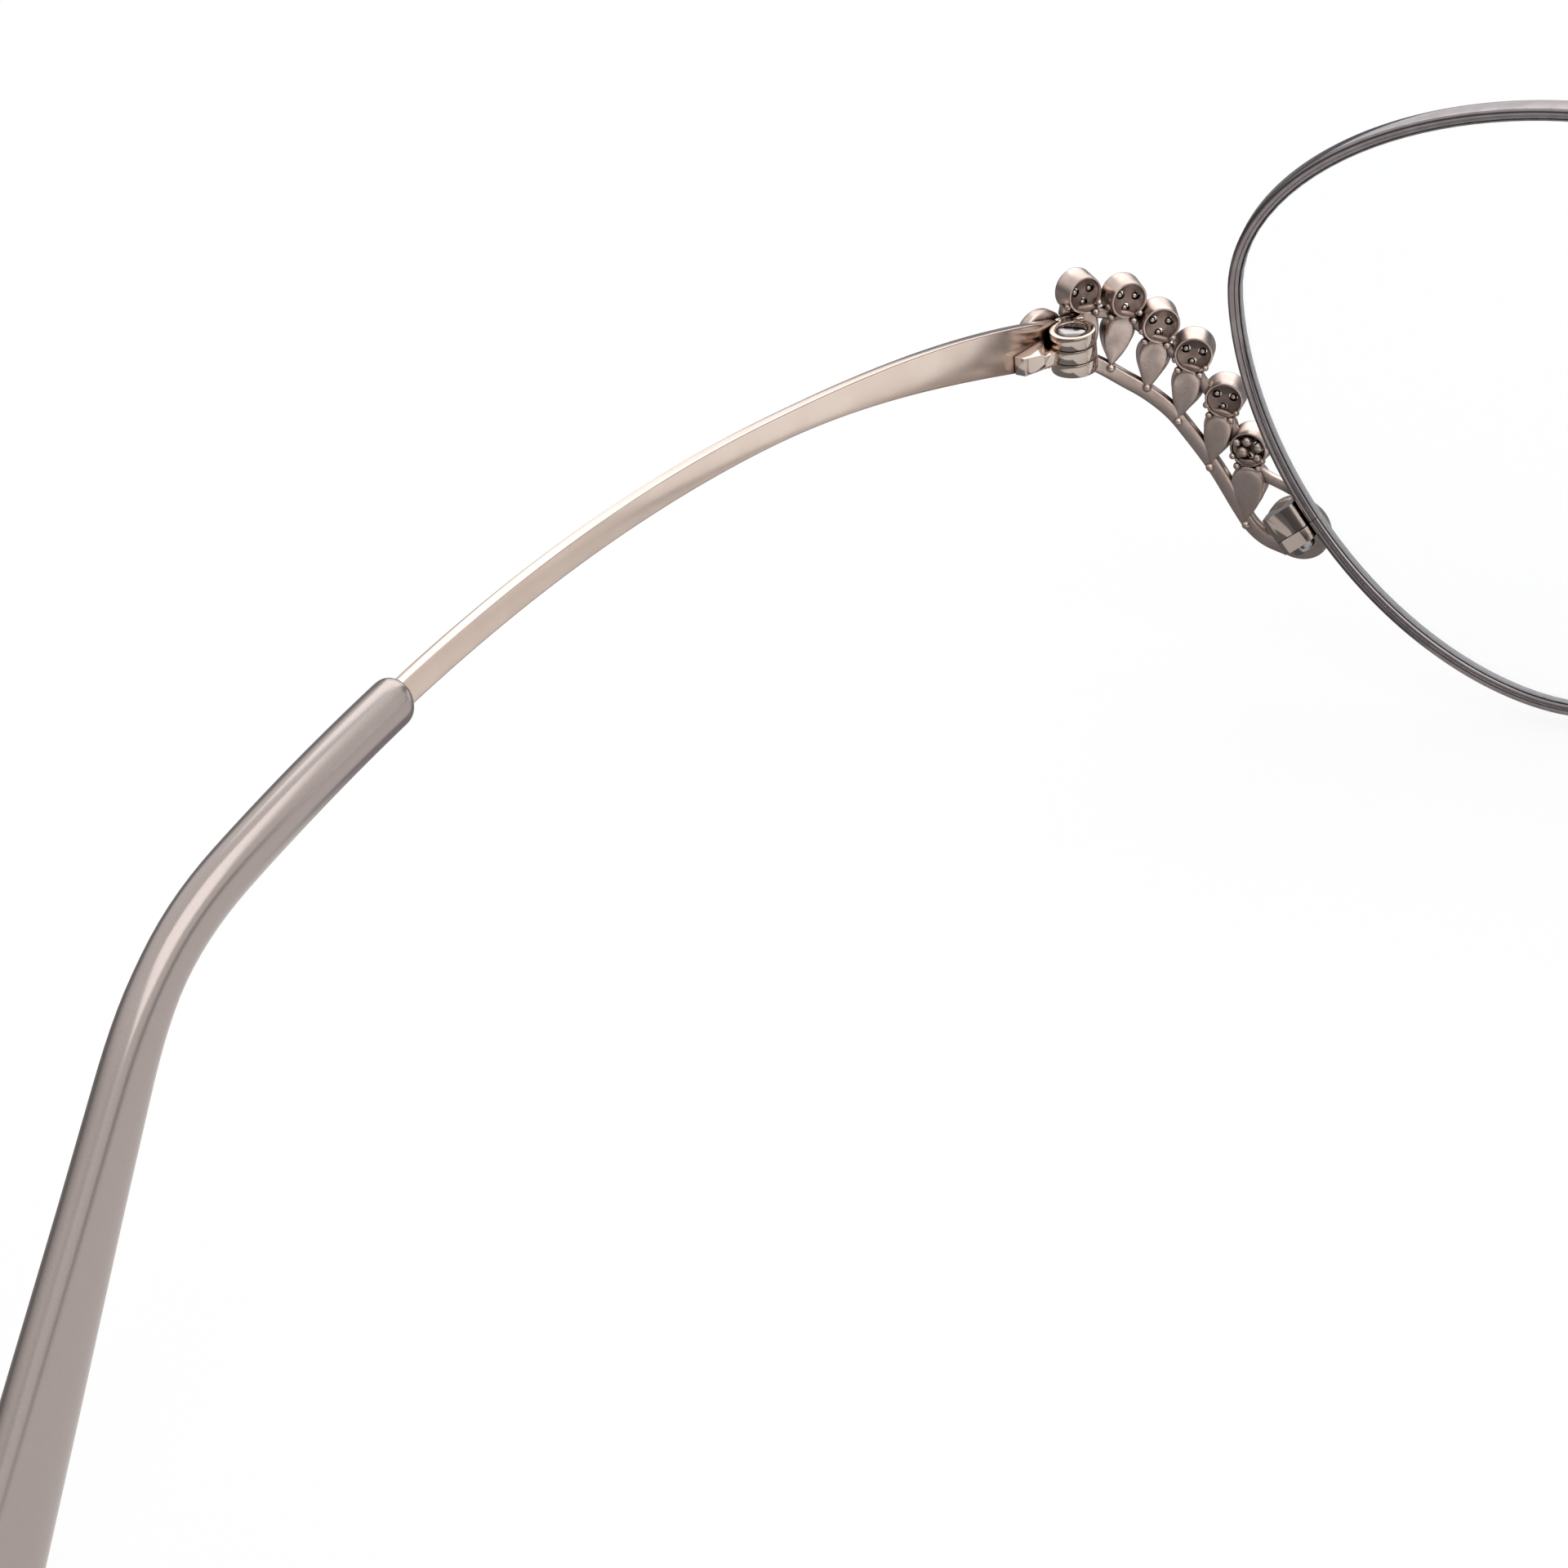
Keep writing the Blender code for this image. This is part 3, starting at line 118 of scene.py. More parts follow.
# %% Camera
CAMERA_AT = (-62.752, 239.86, 128.001)
CAMERA_RIGHT = Vector((-0.84696, -0.52300, -0.09557))
CAMERA_AHEAD = Vector((0.48977, -0.69757, -0.52299))
CAMERA_LENS = 94.95
SENSOR_WIDTH = 36.0
NEAREST_SEEN = 0.01

camera_data = bpy.data.cameras.new("studio_camera")
camera_data.lens = CAMERA_LENS
camera_data.sensor_width = SENSOR_WIDTH
camera_data.sensor_fit = "HORIZONTAL"
camera_data.clip_start = NEAREST_SEEN
camera = bpy.data.objects.new("studio_camera", camera_data)
bpy.context.scene.collection.objects.link(camera)
back = -CAMERA_AHEAD.normalized()
right = (CAMERA_RIGHT - CAMERA_RIGHT.dot(back) * back).normalized()
camera.matrix_world = frame_at(world(CAMERA_AT), right, back.cross(right), back)
bpy.context.scene.camera = camera
bpy.context.scene.view_settings.view_transform = "Standard"
print("camera:", CAMERA_LENS, "mm lens")

# %% [markdown]
# ## Helpers for node trees
# Light and finishes are node trees. These helpers add a node with its values,
# link it to what comes before it, and give back the socket that goes on. So each
# tree below reads like a list of steps.

# %% Node helpers
WHITE = (1.0, 1.0, 1.0, 1.0)
MIX_FIRST, MIX_SECOND, MIX_RESULT = 6, 7, 2


def add_node(tree, kind, values=(), **settings):
    """Add a shader node, with its settings and the values of its sockets."""
    node = tree.nodes.new("ShaderNode" + kind)
    for name, value in settings.items():
        setattr(node, name, value)
    for socket, value in dict(values).items():
        node.inputs[socket].default_value = value
    return node


def wire(tree, *pairs):
    """Link outputs to inputs, pair by pair."""
    for output, target in pairs:
        tree.links.new(output, target)


def maths(tree, operation, *values):
    """Result of a Math node on sockets or plain numbers."""
    node = add_node(tree, "Math", operation=operation)
    for place, value in enumerate(values):
        if isinstance(value, float):
            node.inputs[place].default_value = value
        else:
            tree.links.new(value, node.inputs[place])
    return node.outputs["Value"]


def fade(tree, value, start, end, top=1.0):
    """Smooth rise from 0 at the start to its top at the end."""
    values = {"From Min": start, "From Max": end, "To Max": top}
    node = add_node(tree, "MapRange", values, interpolation_type="SMOOTHSTEP")
    tree.links.new(value, node.inputs["Value"])
    return node.outputs["Result"]


def mix_colours(tree, factor, first, second):
    """Blend of two colours, each a socket or plain red, green and blue."""
    node = add_node(tree, "Mix", data_type="RGBA")
    tree.links.new(factor, node.inputs["Factor"])
    for place, colour in ((MIX_FIRST, first), (MIX_SECOND, second)):
        if isinstance(colour, tuple):
            node.inputs[place].default_value = (*colour, 1.0)
        else:
            tree.links.new(colour, node.inputs[place])
    return node.outputs[MIX_RESULT]


def seen_directly(tree, rays):
    """1 where the camera looks straight or through something clear, else 0."""
    return maths(tree, "MAXIMUM", rays.outputs["Is Camera Ray"],
                 rays.outputs["Is Transmission Ray"])


# %% [markdown]
# ## Light
# A product photograph of polished metal is mostly a photograph of what the metal
# reflects. The tent is bright overhead and on one side. Its lower part is dark,
# like a studio beyond the table, and that draws the dark lines in the metal. The
# camera and the glass see a white background instead, by the Light Path node.

# %% World
AHEAD_STOPS = (
    (0.0, (0.12, 0.13, 0.155)), (0.14, (0.14, 0.148, 0.175)), (0.28, (0.18, 0.185, 0.205)),
    (0.38, (0.36, 0.36, 0.37)), (0.49, (0.86, 0.86, 0.86)), (0.60, (1.0, 1.0, 0.99)),
    (0.85, (0.96, 0.96, 0.96)), (1.0, (0.90, 0.90, 0.90)),
)
BEHIND_STOPS = (
    (0.0, (0.085, 0.085, 0.09)), (0.14, (0.11, 0.11, 0.115)), (0.28, (0.24, 0.235, 0.23)),
    (0.44, (0.52, 0.51, 0.50)), (0.62, (0.85, 0.84, 0.83)), (0.85, (0.96, 0.96, 0.96)),
    (1.0, (0.90, 0.90, 0.90)),
)
FRONT_TO_BACK = (-0.25, 0.25)
BRIGHT_SIDE = (-0.45, -0.75)
BRIGHT_SIDE_SHARE = 0.85
BRIGHT_SIDE_COLOUR = (1.0, 0.98, 0.96)
TENT_WHITE_IN_MIRRORS = 0.04

world_light = bpy.data.worlds.new("studio_tent")
bpy.context.scene.world = world_light
world_light.use_nodes = True
tent = world_light.node_tree
tent.nodes.clear()


def height_ramp(height, stops):
    """Colours over the height of a direction, from the horizon to overhead."""
    node = add_node(tent, "ValToRGB")
    ramp = node.color_ramp
    while len(ramp.elements) < len(stops):
        ramp.elements.new(0.5)
    for element, (place, colour) in zip(ramp.elements, stops):
        element.position = place
        element.color = (*colour, 1.0)
    tent.links.new(height, node.inputs["Fac"])
    return node.outputs["Color"]


direction = add_node(tent, "TexCoord")
axes = add_node(tent, "SeparateXYZ")
wire(tent, (direction.outputs["Generated"], axes.inputs["Vector"]))
ahead = height_ramp(axes.outputs["Z"], AHEAD_STOPS)
behind = height_ramp(axes.outputs["Z"], BEHIND_STOPS)
turned_back = fade(tent, axes.outputs["Y"], *FRONT_TO_BACK)
room = mix_colours(tent, turned_back, ahead, behind)
window = fade(tent, axes.outputs["X"], *BRIGHT_SIDE, BRIGHT_SIDE_SHARE)
room = mix_colours(tent, window, room, BRIGHT_SIDE_COLOUR)
rays = add_node(tent, "LightPath")
mirrored = maths(tent, "MULTIPLY", rays.outputs["Is Glossy Ray"], TENT_WHITE_IN_MIRRORS)
white_share = maths(tent, "MAXIMUM", seen_directly(tent, rays), mirrored)
lit = add_node(tent, "Background", {"Strength": 1.0})
seen = add_node(tent, "Background", {"Color": WHITE, "Strength": 1.0})
mix = add_node(tent, "MixShader")
out = add_node(tent, "OutputWorld")
wire(
    tent,
    (room, lit.inputs["Color"]),
    (white_share, mix.inputs["Fac"]),
    (lit.outputs["Background"], mix.inputs[1]),
    (seen.outputs["Background"], mix.inputs[2]),
    (mix.outputs["Shader"], out.inputs["Surface"]),
)
print("tent:", len(AHEAD_STOPS), "colours ahead and", len(BEHIND_STOPS), "behind")

# %% [markdown]
# Two large soft boxes give the paper and the tips a soft shadow side. They are
# broad and weak, because a small strong lamp burns out in polished metal.

# %% Lamps
LAMP_AIM = (40.0, 20.0, 0.0)
SOFT_BOXES = (
    ("key_soft_box", (-250.0, 60.0, 420.0), 550.0, 1.10),
    ("rear_soft_box", (180.0, -330.0, 260.0), 460.0, 0.75),
)
for name, place, size, power in SOFT_BOXES:
    data = bpy.data.lights.new(name, "AREA")
    data.shape = "SQUARE"
    data.size = size * MM
    data.energy = power
    lamp = bpy.data.objects.new(name, data)
    bpy.context.scene.collection.objects.link(lamp)
    aim = world(LAMP_AIM) - world(place)
    facing = aim.to_track_quat("-Z", "Y").to_matrix().to_4x4()
    lamp.matrix_world = Matrix.Translation(world(place)) @ facing
    print(name, power, "W")

# %% [markdown]
# ## Floor
# The paper is pale. In mirrors it turns dark ahead of the left end piece and
# farther out, as a graded table does, and that splits a polished barrel into
# light and dark bands. Seen directly it is nearly white, with a faint shadow.

# %% Floor material
SIDE_FADE = (0.0460, 0.0505)
NEAR_FADE = (0.0, -0.012)
FRONT_FADE = (-0.094, -0.104)
ROUND_FADE = (0.090, 0.13)
PAPER_PALE = (0.71, 0.70, 0.69)
PAPER_DARK = (0.15, 0.148, 0.155)
PAPER_SEEN = (0.86, 0.86, 0.86)
PAPER_ROUGHNESS = 0.9
GLOW_SEEN = 0.88
GLOW_IN_MIRRORS = 0.03


def new_material(name):
    """New material, with its node tree and its shader."""
    material = bpy.data.materials.new(name)
    material.use_nodes = True
    tree = material.node_tree
    return material, tree, tree.nodes["Principled BSDF"]


def graded_paper():
    """Paper that is plain to the camera and graded in mirrors."""
    material, tree, shader = new_material("graded_paper")
    shader.inputs["Roughness"].default_value = PAPER_ROUGHNESS
    spot = add_node(tree, "TexCoord")
    axes = add_node(tree, "SeparateXYZ")
    distance = add_node(tree, "VectorMath", operation="LENGTH")
    wire(tree, (spot.outputs["Object"], axes.inputs["Vector"]),
         (spot.outputs["Object"], distance.inputs[0]))
    side = fade(tree, axes.outputs["X"], *SIDE_FADE)
    near = fade(tree, axes.outputs["Y"], *NEAR_FADE)
    front = fade(tree, axes.outputs["Y"], *FRONT_FADE)
    outer = fade(tree, distance.outputs["Value"], *ROUND_FADE)
    far = maths(tree, "MAXIMUM", front, outer)
    shade = maths(tree, "MAXIMUM", maths(tree, "MULTIPLY", side, near), far)
    paper = mix_colours(tree, shade, PAPER_PALE, PAPER_DARK)
    rays = add_node(tree, "LightPath")
    direct = seen_directly(tree, rays)
    colour = mix_colours(tree, direct, paper, PAPER_SEEN)
    direct_glow = maths(tree, "MULTIPLY", direct, GLOW_SEEN)
    glow_share = maths(tree, "MULTIPLY_ADD", rays.outputs["Is Glossy Ray"],
                       GLOW_IN_MIRRORS, direct_glow)
    glow = add_node(tree, "Emission", {"Color": WHITE, "Strength": 1.0})
    blend = add_node(tree, "MixShader")
    wire(
        tree,
        (colour, shader.inputs["Base Color"]),
        (glow_share, blend.inputs["Fac"]),
        (shader.outputs["BSDF"], blend.inputs[1]),
        (glow.outputs["Emission"], blend.inputs[2]),
        (blend.outputs["Shader"], tree.nodes["Material Output"].inputs["Surface"]),
    )
    return material


# %% Floor
FLOOR_SIZE = 3.0
FLOOR_HEIGHT = -0.0003

floor_mesh = bmesh.new()
bmesh.ops.create_grid(floor_mesh, x_segments=1, y_segments=1, size=FLOOR_SIZE)
floor_data = bpy.data.meshes.new("floor")
floor_mesh.to_mesh(floor_data)
floor_data.materials.append(graded_paper())
floor = bpy.data.objects.new("floor", floor_data)
floor.location = (0.0, 0.0, FLOOR_HEIGHT)
bpy.context.scene.collection.objects.link(floor)
floor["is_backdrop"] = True
print("floor: paper of", 2 * FLOOR_SIZE, "m a side")

# %% [markdown]
# ## Finishes
# All the metal is plated, so its finishes differ in tint and in polish. Plating is never quite
# even: a fine cloudy change of roughness and tint, and a faint orange-peel bump, keep it from
# looking like a computer's mirror. Where metal meets metal the tint is also darkened by an ambient
# occlusion mask, which is painted shade in the corners. One node group holds that wear and that
# painted shade and goes into every metal with its own values.

# %% Plating and painted shade group
PLATING_SOCKETS = (
    ("INPUT", "Color", ("Tint", "Cloud Tint")),
    ("INPUT", "Float", ("Polish", "Spread", "Cloud Scale", "Grain Scale")),
    ("INPUT", "Color", ("Painted Crevice Shade",)),
    ("INPUT", "Float", ("Painted Shade Reach",)),
    ("OUTPUT", "Color", ("Color",)),
    ("OUTPUT", "Float", ("Roughness", "Height")),
)
CLOUD_CONTRAST = {"From Min": 0.38, "From Max": 0.62}
OPEN_RANGE = {"From Min": 0.25, "From Max": 0.80}
CREVICE_SHADE_SAMPLES = 6


def plating_wear_and_shade_group():
    """Uneven tint and polish, painted shade in the corners and a grain for the bump."""
    group = bpy.data.node_groups.new("Plating Wear And Shade", "ShaderNodeTree")
    for way, kind, names in PLATING_SOCKETS:
        for name in names:
            group.interface.new_socket(name, in_out=way, socket_type="NodeSocket" + kind)
    entry = group.nodes.new("NodeGroupInput").outputs
    leave = group.nodes.new("NodeGroupOutput").inputs
    place = add_node(group, "TexCoord").outputs["Object"]
    cloud = add_node(group, "TexNoise", {"Detail": 3.0})
    grain = add_node(group, "TexNoise", {"Detail": 2.0})
    sharpen = add_node(group, "MapRange", CLOUD_CONTRAST)
    # Painted shade: ambient occlusion finds where metal meets metal, and the tint is darkened
    # there.
    shut_in = add_node(group, "AmbientOcclusion", samples=CREVICE_SHADE_SAMPLES)
    openness = add_node(group, "MapRange", OPEN_RANGE)
    wire(
        group,
        (place, cloud.inputs["Vector"]),
        (place, grain.inputs["Vector"]),
        (entry["Cloud Scale"], cloud.inputs["Scale"]),
        (entry["Grain Scale"], grain.inputs["Scale"]),
        (cloud.outputs["Fac"], sharpen.inputs["Value"]),
        (entry["Painted Shade Reach"], shut_in.inputs["Distance"]),
        (shut_in.outputs["AO"], openness.inputs["Value"]),
    )
    clouds = sharpen.outputs["Result"]
    tint = mix_colours(group, clouds, entry["Tint"], entry["Cloud Tint"])
    # Painted shade: the crevice tint takes over from the tint where the occlusion is strong.
    colour = mix_colours(group, openness.outputs["Result"], entry["Painted Crevice Shade"], tint)
    rough = maths(group, "MULTIPLY_ADD", clouds, entry["Spread"], entry["Polish"])
    wire(group, (colour, leave["Color"]), (rough, leave["Roughness"]),
         (grain.outputs["Fac"], leave["Height"]))
    return group


PLATING_WEAR_AND_SHADE = plating_wear_and_shade_group()
print("plating group:", len(PLATING_WEAR_AND_SHADE.nodes), "nodes")

# %% [markdown]
# Each metal names its tint, the tint of its clouds, its polish and how far the polish spreads, and
# the tint and reach of the painted shade in its corners. The eyewire, the casting and the screws
# are darker than the rose of the temples, and the blades are satin rather than mirror bright.

# %% Metals
BUMP_HEIGHT = 0.02
EVEN = {"cloud_scale": 300.0, "relief": 0.01}


def plated(name, tint, cloud, polish, spread, cloud_scale=900.0, grain_scale=9000.0,
           relief=0.03, crevice_shade=(0.20, 0.14, 0.11), reach=0.45):
    """Plated metal: its tint and polish drift a little over the surface, and painted shade darkens
    its corners.
    """
    material, tree, shader = new_material(name)
    shader.inputs["Metallic"].default_value = 1.0
    values = {
        "Tint": (*tint, 1.0), "Cloud Tint": (*cloud, 1.0), "Painted Crevice Shade": (*crevice_shade, 1.0),
        "Polish": polish, "Spread": spread, "Cloud Scale": cloud_scale,
        "Grain Scale": grain_scale, "Painted Shade Reach": reach * MM,
    }
    wear = add_node(tree, "Group", values, node_tree=PLATING_WEAR_AND_SHADE)
    bump = add_node(tree, "Bump", {"Strength": relief, "Distance": BUMP_HEIGHT * MM})
    wire(
        tree,
        (wear.outputs["Color"], shader.inputs["Base Color"]),
        (wear.outputs["Roughness"], shader.inputs["Roughness"]),
        (wear.outputs["Height"], bump.inputs["Height"]),
        (bump.outputs["Normal"], shader.inputs["Normal"]),
    )
    return material


ROSE = plated("rose_plating", (0.69, 0.56, 0.475), (0.665, 0.535, 0.45), 0.045, 0.025, **EVEN)
SATIN_ROSE = plated("satin_rose_plating", (0.77, 0.635, 0.555), (0.745, 0.61, 0.53),
                    0.15, 0.03, **EVEN)
HINGE_ROSE = plated("rose_hinge_plating", (0.61, 0.515, 0.455), (0.58, 0.49, 0.43),
                    0.05, 0.025, **EVEN)
# Painted shade: the closing blocks take this darker copy of the rose plating, which stands in for
# the dark reflections in their polished faces.
SHADED_BLOCK_ROSE = plated("block_rose_painted_dark", (0.44, 0.37, 0.33), (0.40, 0.335, 0.30),
                   0.04, 0.02, **EVEN)
CASTING = plated("satin_rose_casting", (0.66, 0.545, 0.495), (0.54, 0.435, 0.385),
                 0.24, 0.12, cloud_scale=700.0, grain_scale=5000.0, relief=0.20,
                 crevice_shade=(0.09, 0.06, 0.05), reach=0.55)
# Painted shade: the pierced backs of the round settings and the pillows in the valleys take this
# darker copy of the casting.
RECESS_SHADE = plated("casting_recess_painted_shade", (0.30, 0.225, 0.195), (0.22, 0.16, 0.14),
                0.28, 0.12, grain_scale=5000.0, relief=0.25,
                crevice_shade=(0.06, 0.04, 0.033), reach=0.6)
EYEWIRE = plated("brown_rose_eyewire", (0.30, 0.268, 0.272), (0.26, 0.23, 0.232),
                 0.09, 0.05, reach=0.04)
STEEL = plated("polished_screw", (0.38, 0.36, 0.365), (0.33, 0.31, 0.315), 0.10, 0.06)
print("metals:", PLATING_WEAR_AND_SHADE.users)

# %% [markdown]
# The temple tips are moulded in a pearly plastic. Pearl pigment behaves like a
# soft metal under a clear gloss, so the shader is partly metallic with a smooth
# coat, and a fine sparkle breaks up its tint. The lens edge is grey and finely
# streaked, as the grinding wheel leaves it, and it is matt.

# %% Speckled finishes


def noise(tree, scale, detail=2.0):
    """Noise on the piece's own coordinates."""
    place = add_node(tree, "TexCoord")
    node = add_node(tree, "TexNoise", {"Scale": scale, "Detail": detail})
    wire(tree, (place.outputs["Object"], node.inputs["Vector"]))
    return node.outputs["Fac"]


def speckled(name, scale, detail, dark, pale, values):
    """Finish whose tint wavers finely between two colours."""
    material, tree, shader = new_material(name)
    tint = mix_colours(tree, noise(tree, scale, detail), dark, pale)
    wire(tree, (tint, shader.inputs["Base Color"]))
    for socket, value in values.items():
        shader.inputs[socket].default_value = value
    return material


PEARL = speckled("pearly_taupe_plastic", 16000.0, 1.0, (0.37, 0.31, 0.29), (0.47, 0.41, 0.39),
                 {"Metallic": 0.78, "Roughness": 0.20, "Coat Weight": 0.3, "Coat Roughness": 0.08})
GROUND = speckled("ground_lens_edge", 2500.0, 2.0, (0.27, 0.265, 0.285), (0.34, 0.335, 0.355),
                  {"Roughness": 0.45})
print("speckled finishes:", PEARL.name, GROUND.name)

# %% [markdown]
# Stones, lenses and nose pads are clear. Real glass in Cycles needs light to pass
# through two surfaces, so each of these is a closed body with a full
# transmission weight, and its own index of refraction.

# %% Clear materials
TOUCH_SCALE = 120.0


def clear(name, tint, ior, roughness, haze):
    """Clear body, its surface a little hazed by touch."""
    material, tree, shader = new_material(name)
    shader.inputs["Transmission Weight"].default_value = 1.0
    shader.inputs["IOR"].default_value = ior
    shader.inputs["Base Color"].default_value = (*tint, 1.0)
    rough = maths(tree, "MULTIPLY_ADD", noise(tree, TOUCH_SCALE), haze, roughness)
    wire(tree, (rough, shader.inputs["Roughness"]))
    return material


CRYSTAL = clear("cut_crystal", (0.97, 0.97, 0.98), 1.60, 0.0, 0.01)
LENS_CLEAR = clear("demo_lens", (0.99, 0.995, 0.995), 1.40, 0.0, 0.005)
SILICONE = clear("clear_silicone", (0.93, 0.93, 0.92), 1.35, 0.22, 0.1)
print("clear finishes:", CRYSTAL.name, LENS_CLEAR.name, SILICONE.name)

# %% [markdown]
# ## Helpers for making pieces
# Most pieces are either turned on an axis or swept along a line. A turned piece
# starts as one row of vertices, which spin carries round. A swept piece starts as
# a circle of vertices laid on its first section, and extruding its edge loop
# again and again, each time moved to the next section, pulls out the whole form.

# %% Turn and sweep
WELD = 1e-7


def circle_points(count, shift=0.0):
    """Cosine and sine of even angles round a circle."""
    angles = [2 * math.pi * (k + shift) / count for k in range(count)]
    return [(math.cos(angle), math.sin(angle)) for angle in angles]


def turn(bm, profile, place, steps=48):
    """Spin a profile of (radius, height) about the third axis of a place."""
    known = set(bm.verts)
    axis = place.to_3x3() @ UP
    verts = [bm.verts.new(placed(place, radius, 0.0, height)) for radius, height in profile]
    edges = [bm.edges.new(pair) for pair in zip(verts, verts[1:])]
    bmesh.ops.spin(bm, geom=verts + edges, cent=place.to_translation(), axis=axis,
                   angle=2 * math.pi, steps=steps, use_merge=True)
    fresh = [vert for vert in bm.verts if vert not in known]
    bmesh.ops.remove_doubles(bm, verts=fresh, dist=WELD)


def verts_of(made):
    return [item for item in made if isinstance(item, bmesh.types.BMVert)]


def pulled_from(vert, fresh):
    """The new vertex that was extruded from this one."""
    return next(e.other_vert(vert) for e in vert.link_edges if e.other_vert(vert) in fresh)


def sweep(bm, sections, closed=False, caps=True):
    """Extrude a loop of vertices through a list of sections of equal counts."""
    loop = bmesh.ops.create_circle(bm, segments=len(sections[0]), radius=MM)["verts"]
    for vert, point in zip(loop, sections[0]):
        vert.co = point
    first = list(loop)
    edges = list(dict.fromkeys(edge for vert in loop for edge in vert.link_edges))
    first_edges = list(edges)
    for section in sections[1:]:
        made = bmesh.ops.extrude_edge_only(bm, edges=edges)["geom"]
        fresh = set(verts_of(made))
        loop = [pulled_from(vert, fresh) for vert in loop]
        edges = [item for item in made if isinstance(item, bmesh.types.BMEdge)
                 and item.verts[0] in fresh and item.verts[1] in fresh]
        for vert, point in zip(loop, section):
            vert.co = point
    if closed:
        bmesh.ops.bridge_loops(bm, edges=first_edges + edges)
    elif caps:
        bmesh.ops.contextual_create(bm, geom=first)
        bmesh.ops.contextual_create(bm, geom=loop)


def finish_shape(bm):
    """Merge doubled vertices and turn the faces outwards."""
    bmesh.ops.remove_doubles(bm, verts=bm.verts, dist=WELD)
    bmesh.ops.recalc_face_normals(bm, faces=bm.faces)


# %% [markdown]
# Machined pieces are blocks and slabs. Their edges are broken by a small radius,
# because that is where polished metal catches the light. Slots and hollows are
# cut by a Boolean with the exact solver.

# %% Blocks, cuts and joins
BEVEL = {"offset_type": "OFFSET", "segments": 3, "profile": 0.5, "affect": "EDGES",
         "material": -1}


def box(size, place, radius=0.0):
    """Box centred on a placed frame, its edges rounded where a radius is given."""
    bm = bmesh.new()
    bmesh.ops.create_cube(bm, size=1.0)
    bmesh.ops.scale(bm, vec=[side * MM for side in size], verts=bm.verts)
    if radius:
        bmesh.ops.bevel(bm, geom=bm.verts[:] + bm.edges[:], offset=radius * MM, **BEVEL)
    bmesh.ops.transform(bm, matrix=place, verts=bm.verts)
    return bm


def cut_away(body, tool):
    """Exact Boolean difference of two closed meshes."""
    items = []
    for name, bm in (("body", body), ("tool", tool)):
        mesh = bpy.data.meshes.new(name)
        bm.to_mesh(mesh)
        item = bpy.data.objects.new(name, mesh)
        bpy.context.scene.collection.objects.link(item)
        items.append(item)
    modifier = items[0].modifiers.new("cut", "BOOLEAN")
    modifier.operation = "DIFFERENCE"
    modifier.solver = "EXACT"
    modifier.object = items[1]
    graph = bpy.context.evaluated_depsgraph_get()
    result = bmesh.new()
    result.from_mesh(items[0].evaluated_get(graph).to_mesh())
    for item in items:
        bpy.data.objects.remove(item, do_unlink=True)
    return result


def merge_into(target, source):
    """Copy one bmesh into another."""
    mesh = bpy.data.meshes.new("part")
    source.to_mesh(mesh)
    target.from_mesh(mesh)
    bpy.data.meshes.remove(mesh)


# %% [markdown]
# Every piece rides on a body of the model, takes its finish from a slot and
# stands for the solids that it replaces. Edges sharper than an angle stay sharp.
# A smaller angle keeps flat faces flat in reflections, and a larger one lets the
# polish run softly over the corners.

# %% Adding pieces
FRONT = ("front", "front")
TEMPLES = ("left_temple", "right_temple")
PADS = ("left_pad", "right_pad")
SOFT = 32.0
CRISP = 20.0
CAST = 38.0
FACETED = 1.0


def add_piece(name, bm, material, body, nodes, sharp=SOFT):
    """Make an object, give it its finish, its body and the solids it stands for."""
    mesh = bpy.data.meshes.new(name)
    bm.to_mesh(mesh)
    mesh.materials.append(material)
    mesh.shade_smooth()
    mesh.set_sharp_from_angle(angle=math.radians(sharp))
    piece = bpy.data.objects.new(name, mesh)
    bpy.context.scene.collection.objects.link(piece)
    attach(piece, body)
    if nodes:
        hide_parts(*nodes)


def add_pair(name, bm, material, bodies, nodes, sharp=SOFT):
    """Add the left piece and its mirror image on the right."""
    mirror = bm.copy()
    bmesh.ops.scale(mirror, vec=(-1.0, 1.0, 1.0), verts=mirror.verts)
    bmesh.ops.reverse_faces(mirror, faces=mirror.faces)
    for side, shape, body in (("left_", bm, bodies[0]), ("right_", mirror, bodies[1])):
        add_piece(side + name, shape, material, body, [side + n for n in nodes], sharp)
    print(name, len(bm.faces), "faces a side")


# %% [markdown]
# ## Eyewires and lenses
# The lens edge is half an ellipse above its widest line and a longer, slightly
# more pointed curve below it. That flat outline is laid on a shallow dome, turned
# by the wrap of the face and tilted with it. The eyewire is one section swept
# round the outline, from one side of the split in its lower outer corner to the
# other.

# %% Lens outline
LENS_HALF = 25.25
LENS_RISE = 15.2
LENS_DROP = 28.2
DROP_POWER = 1.81
EYE_CENTRE = 34.5
WIDEST_LINE = 6.04
LENS_LEVEL = -3.8
DOME_RADIUS = 132.0
WRAP = math.tan(math.radians(5.0))
TILT = Matrix.Rotation(math.radians(6.7), 3, "X")
SPLIT_ANGLE = 38.5
ANGLE_STEP = 0.5
TANGENT_REACH = 0.4


def on_dome(x, z, depth=0.0):
    """World point at (x, z) from the lens centre, a depth behind the lens's middle."""
    y = (x * x + z * z) / (2 * DOME_RADIUS) + x * WRAP
    back = Vector((-x / DOME_RADIUS - WRAP, 1.0, -z / DOME_RADIUS)).normalized()
    tilted = TILT @ (Vector((x, y, z)) + depth * back)
    return world(tilted + Vector((EYE_CENTRE, 0.0, LENS_LEVEL)))


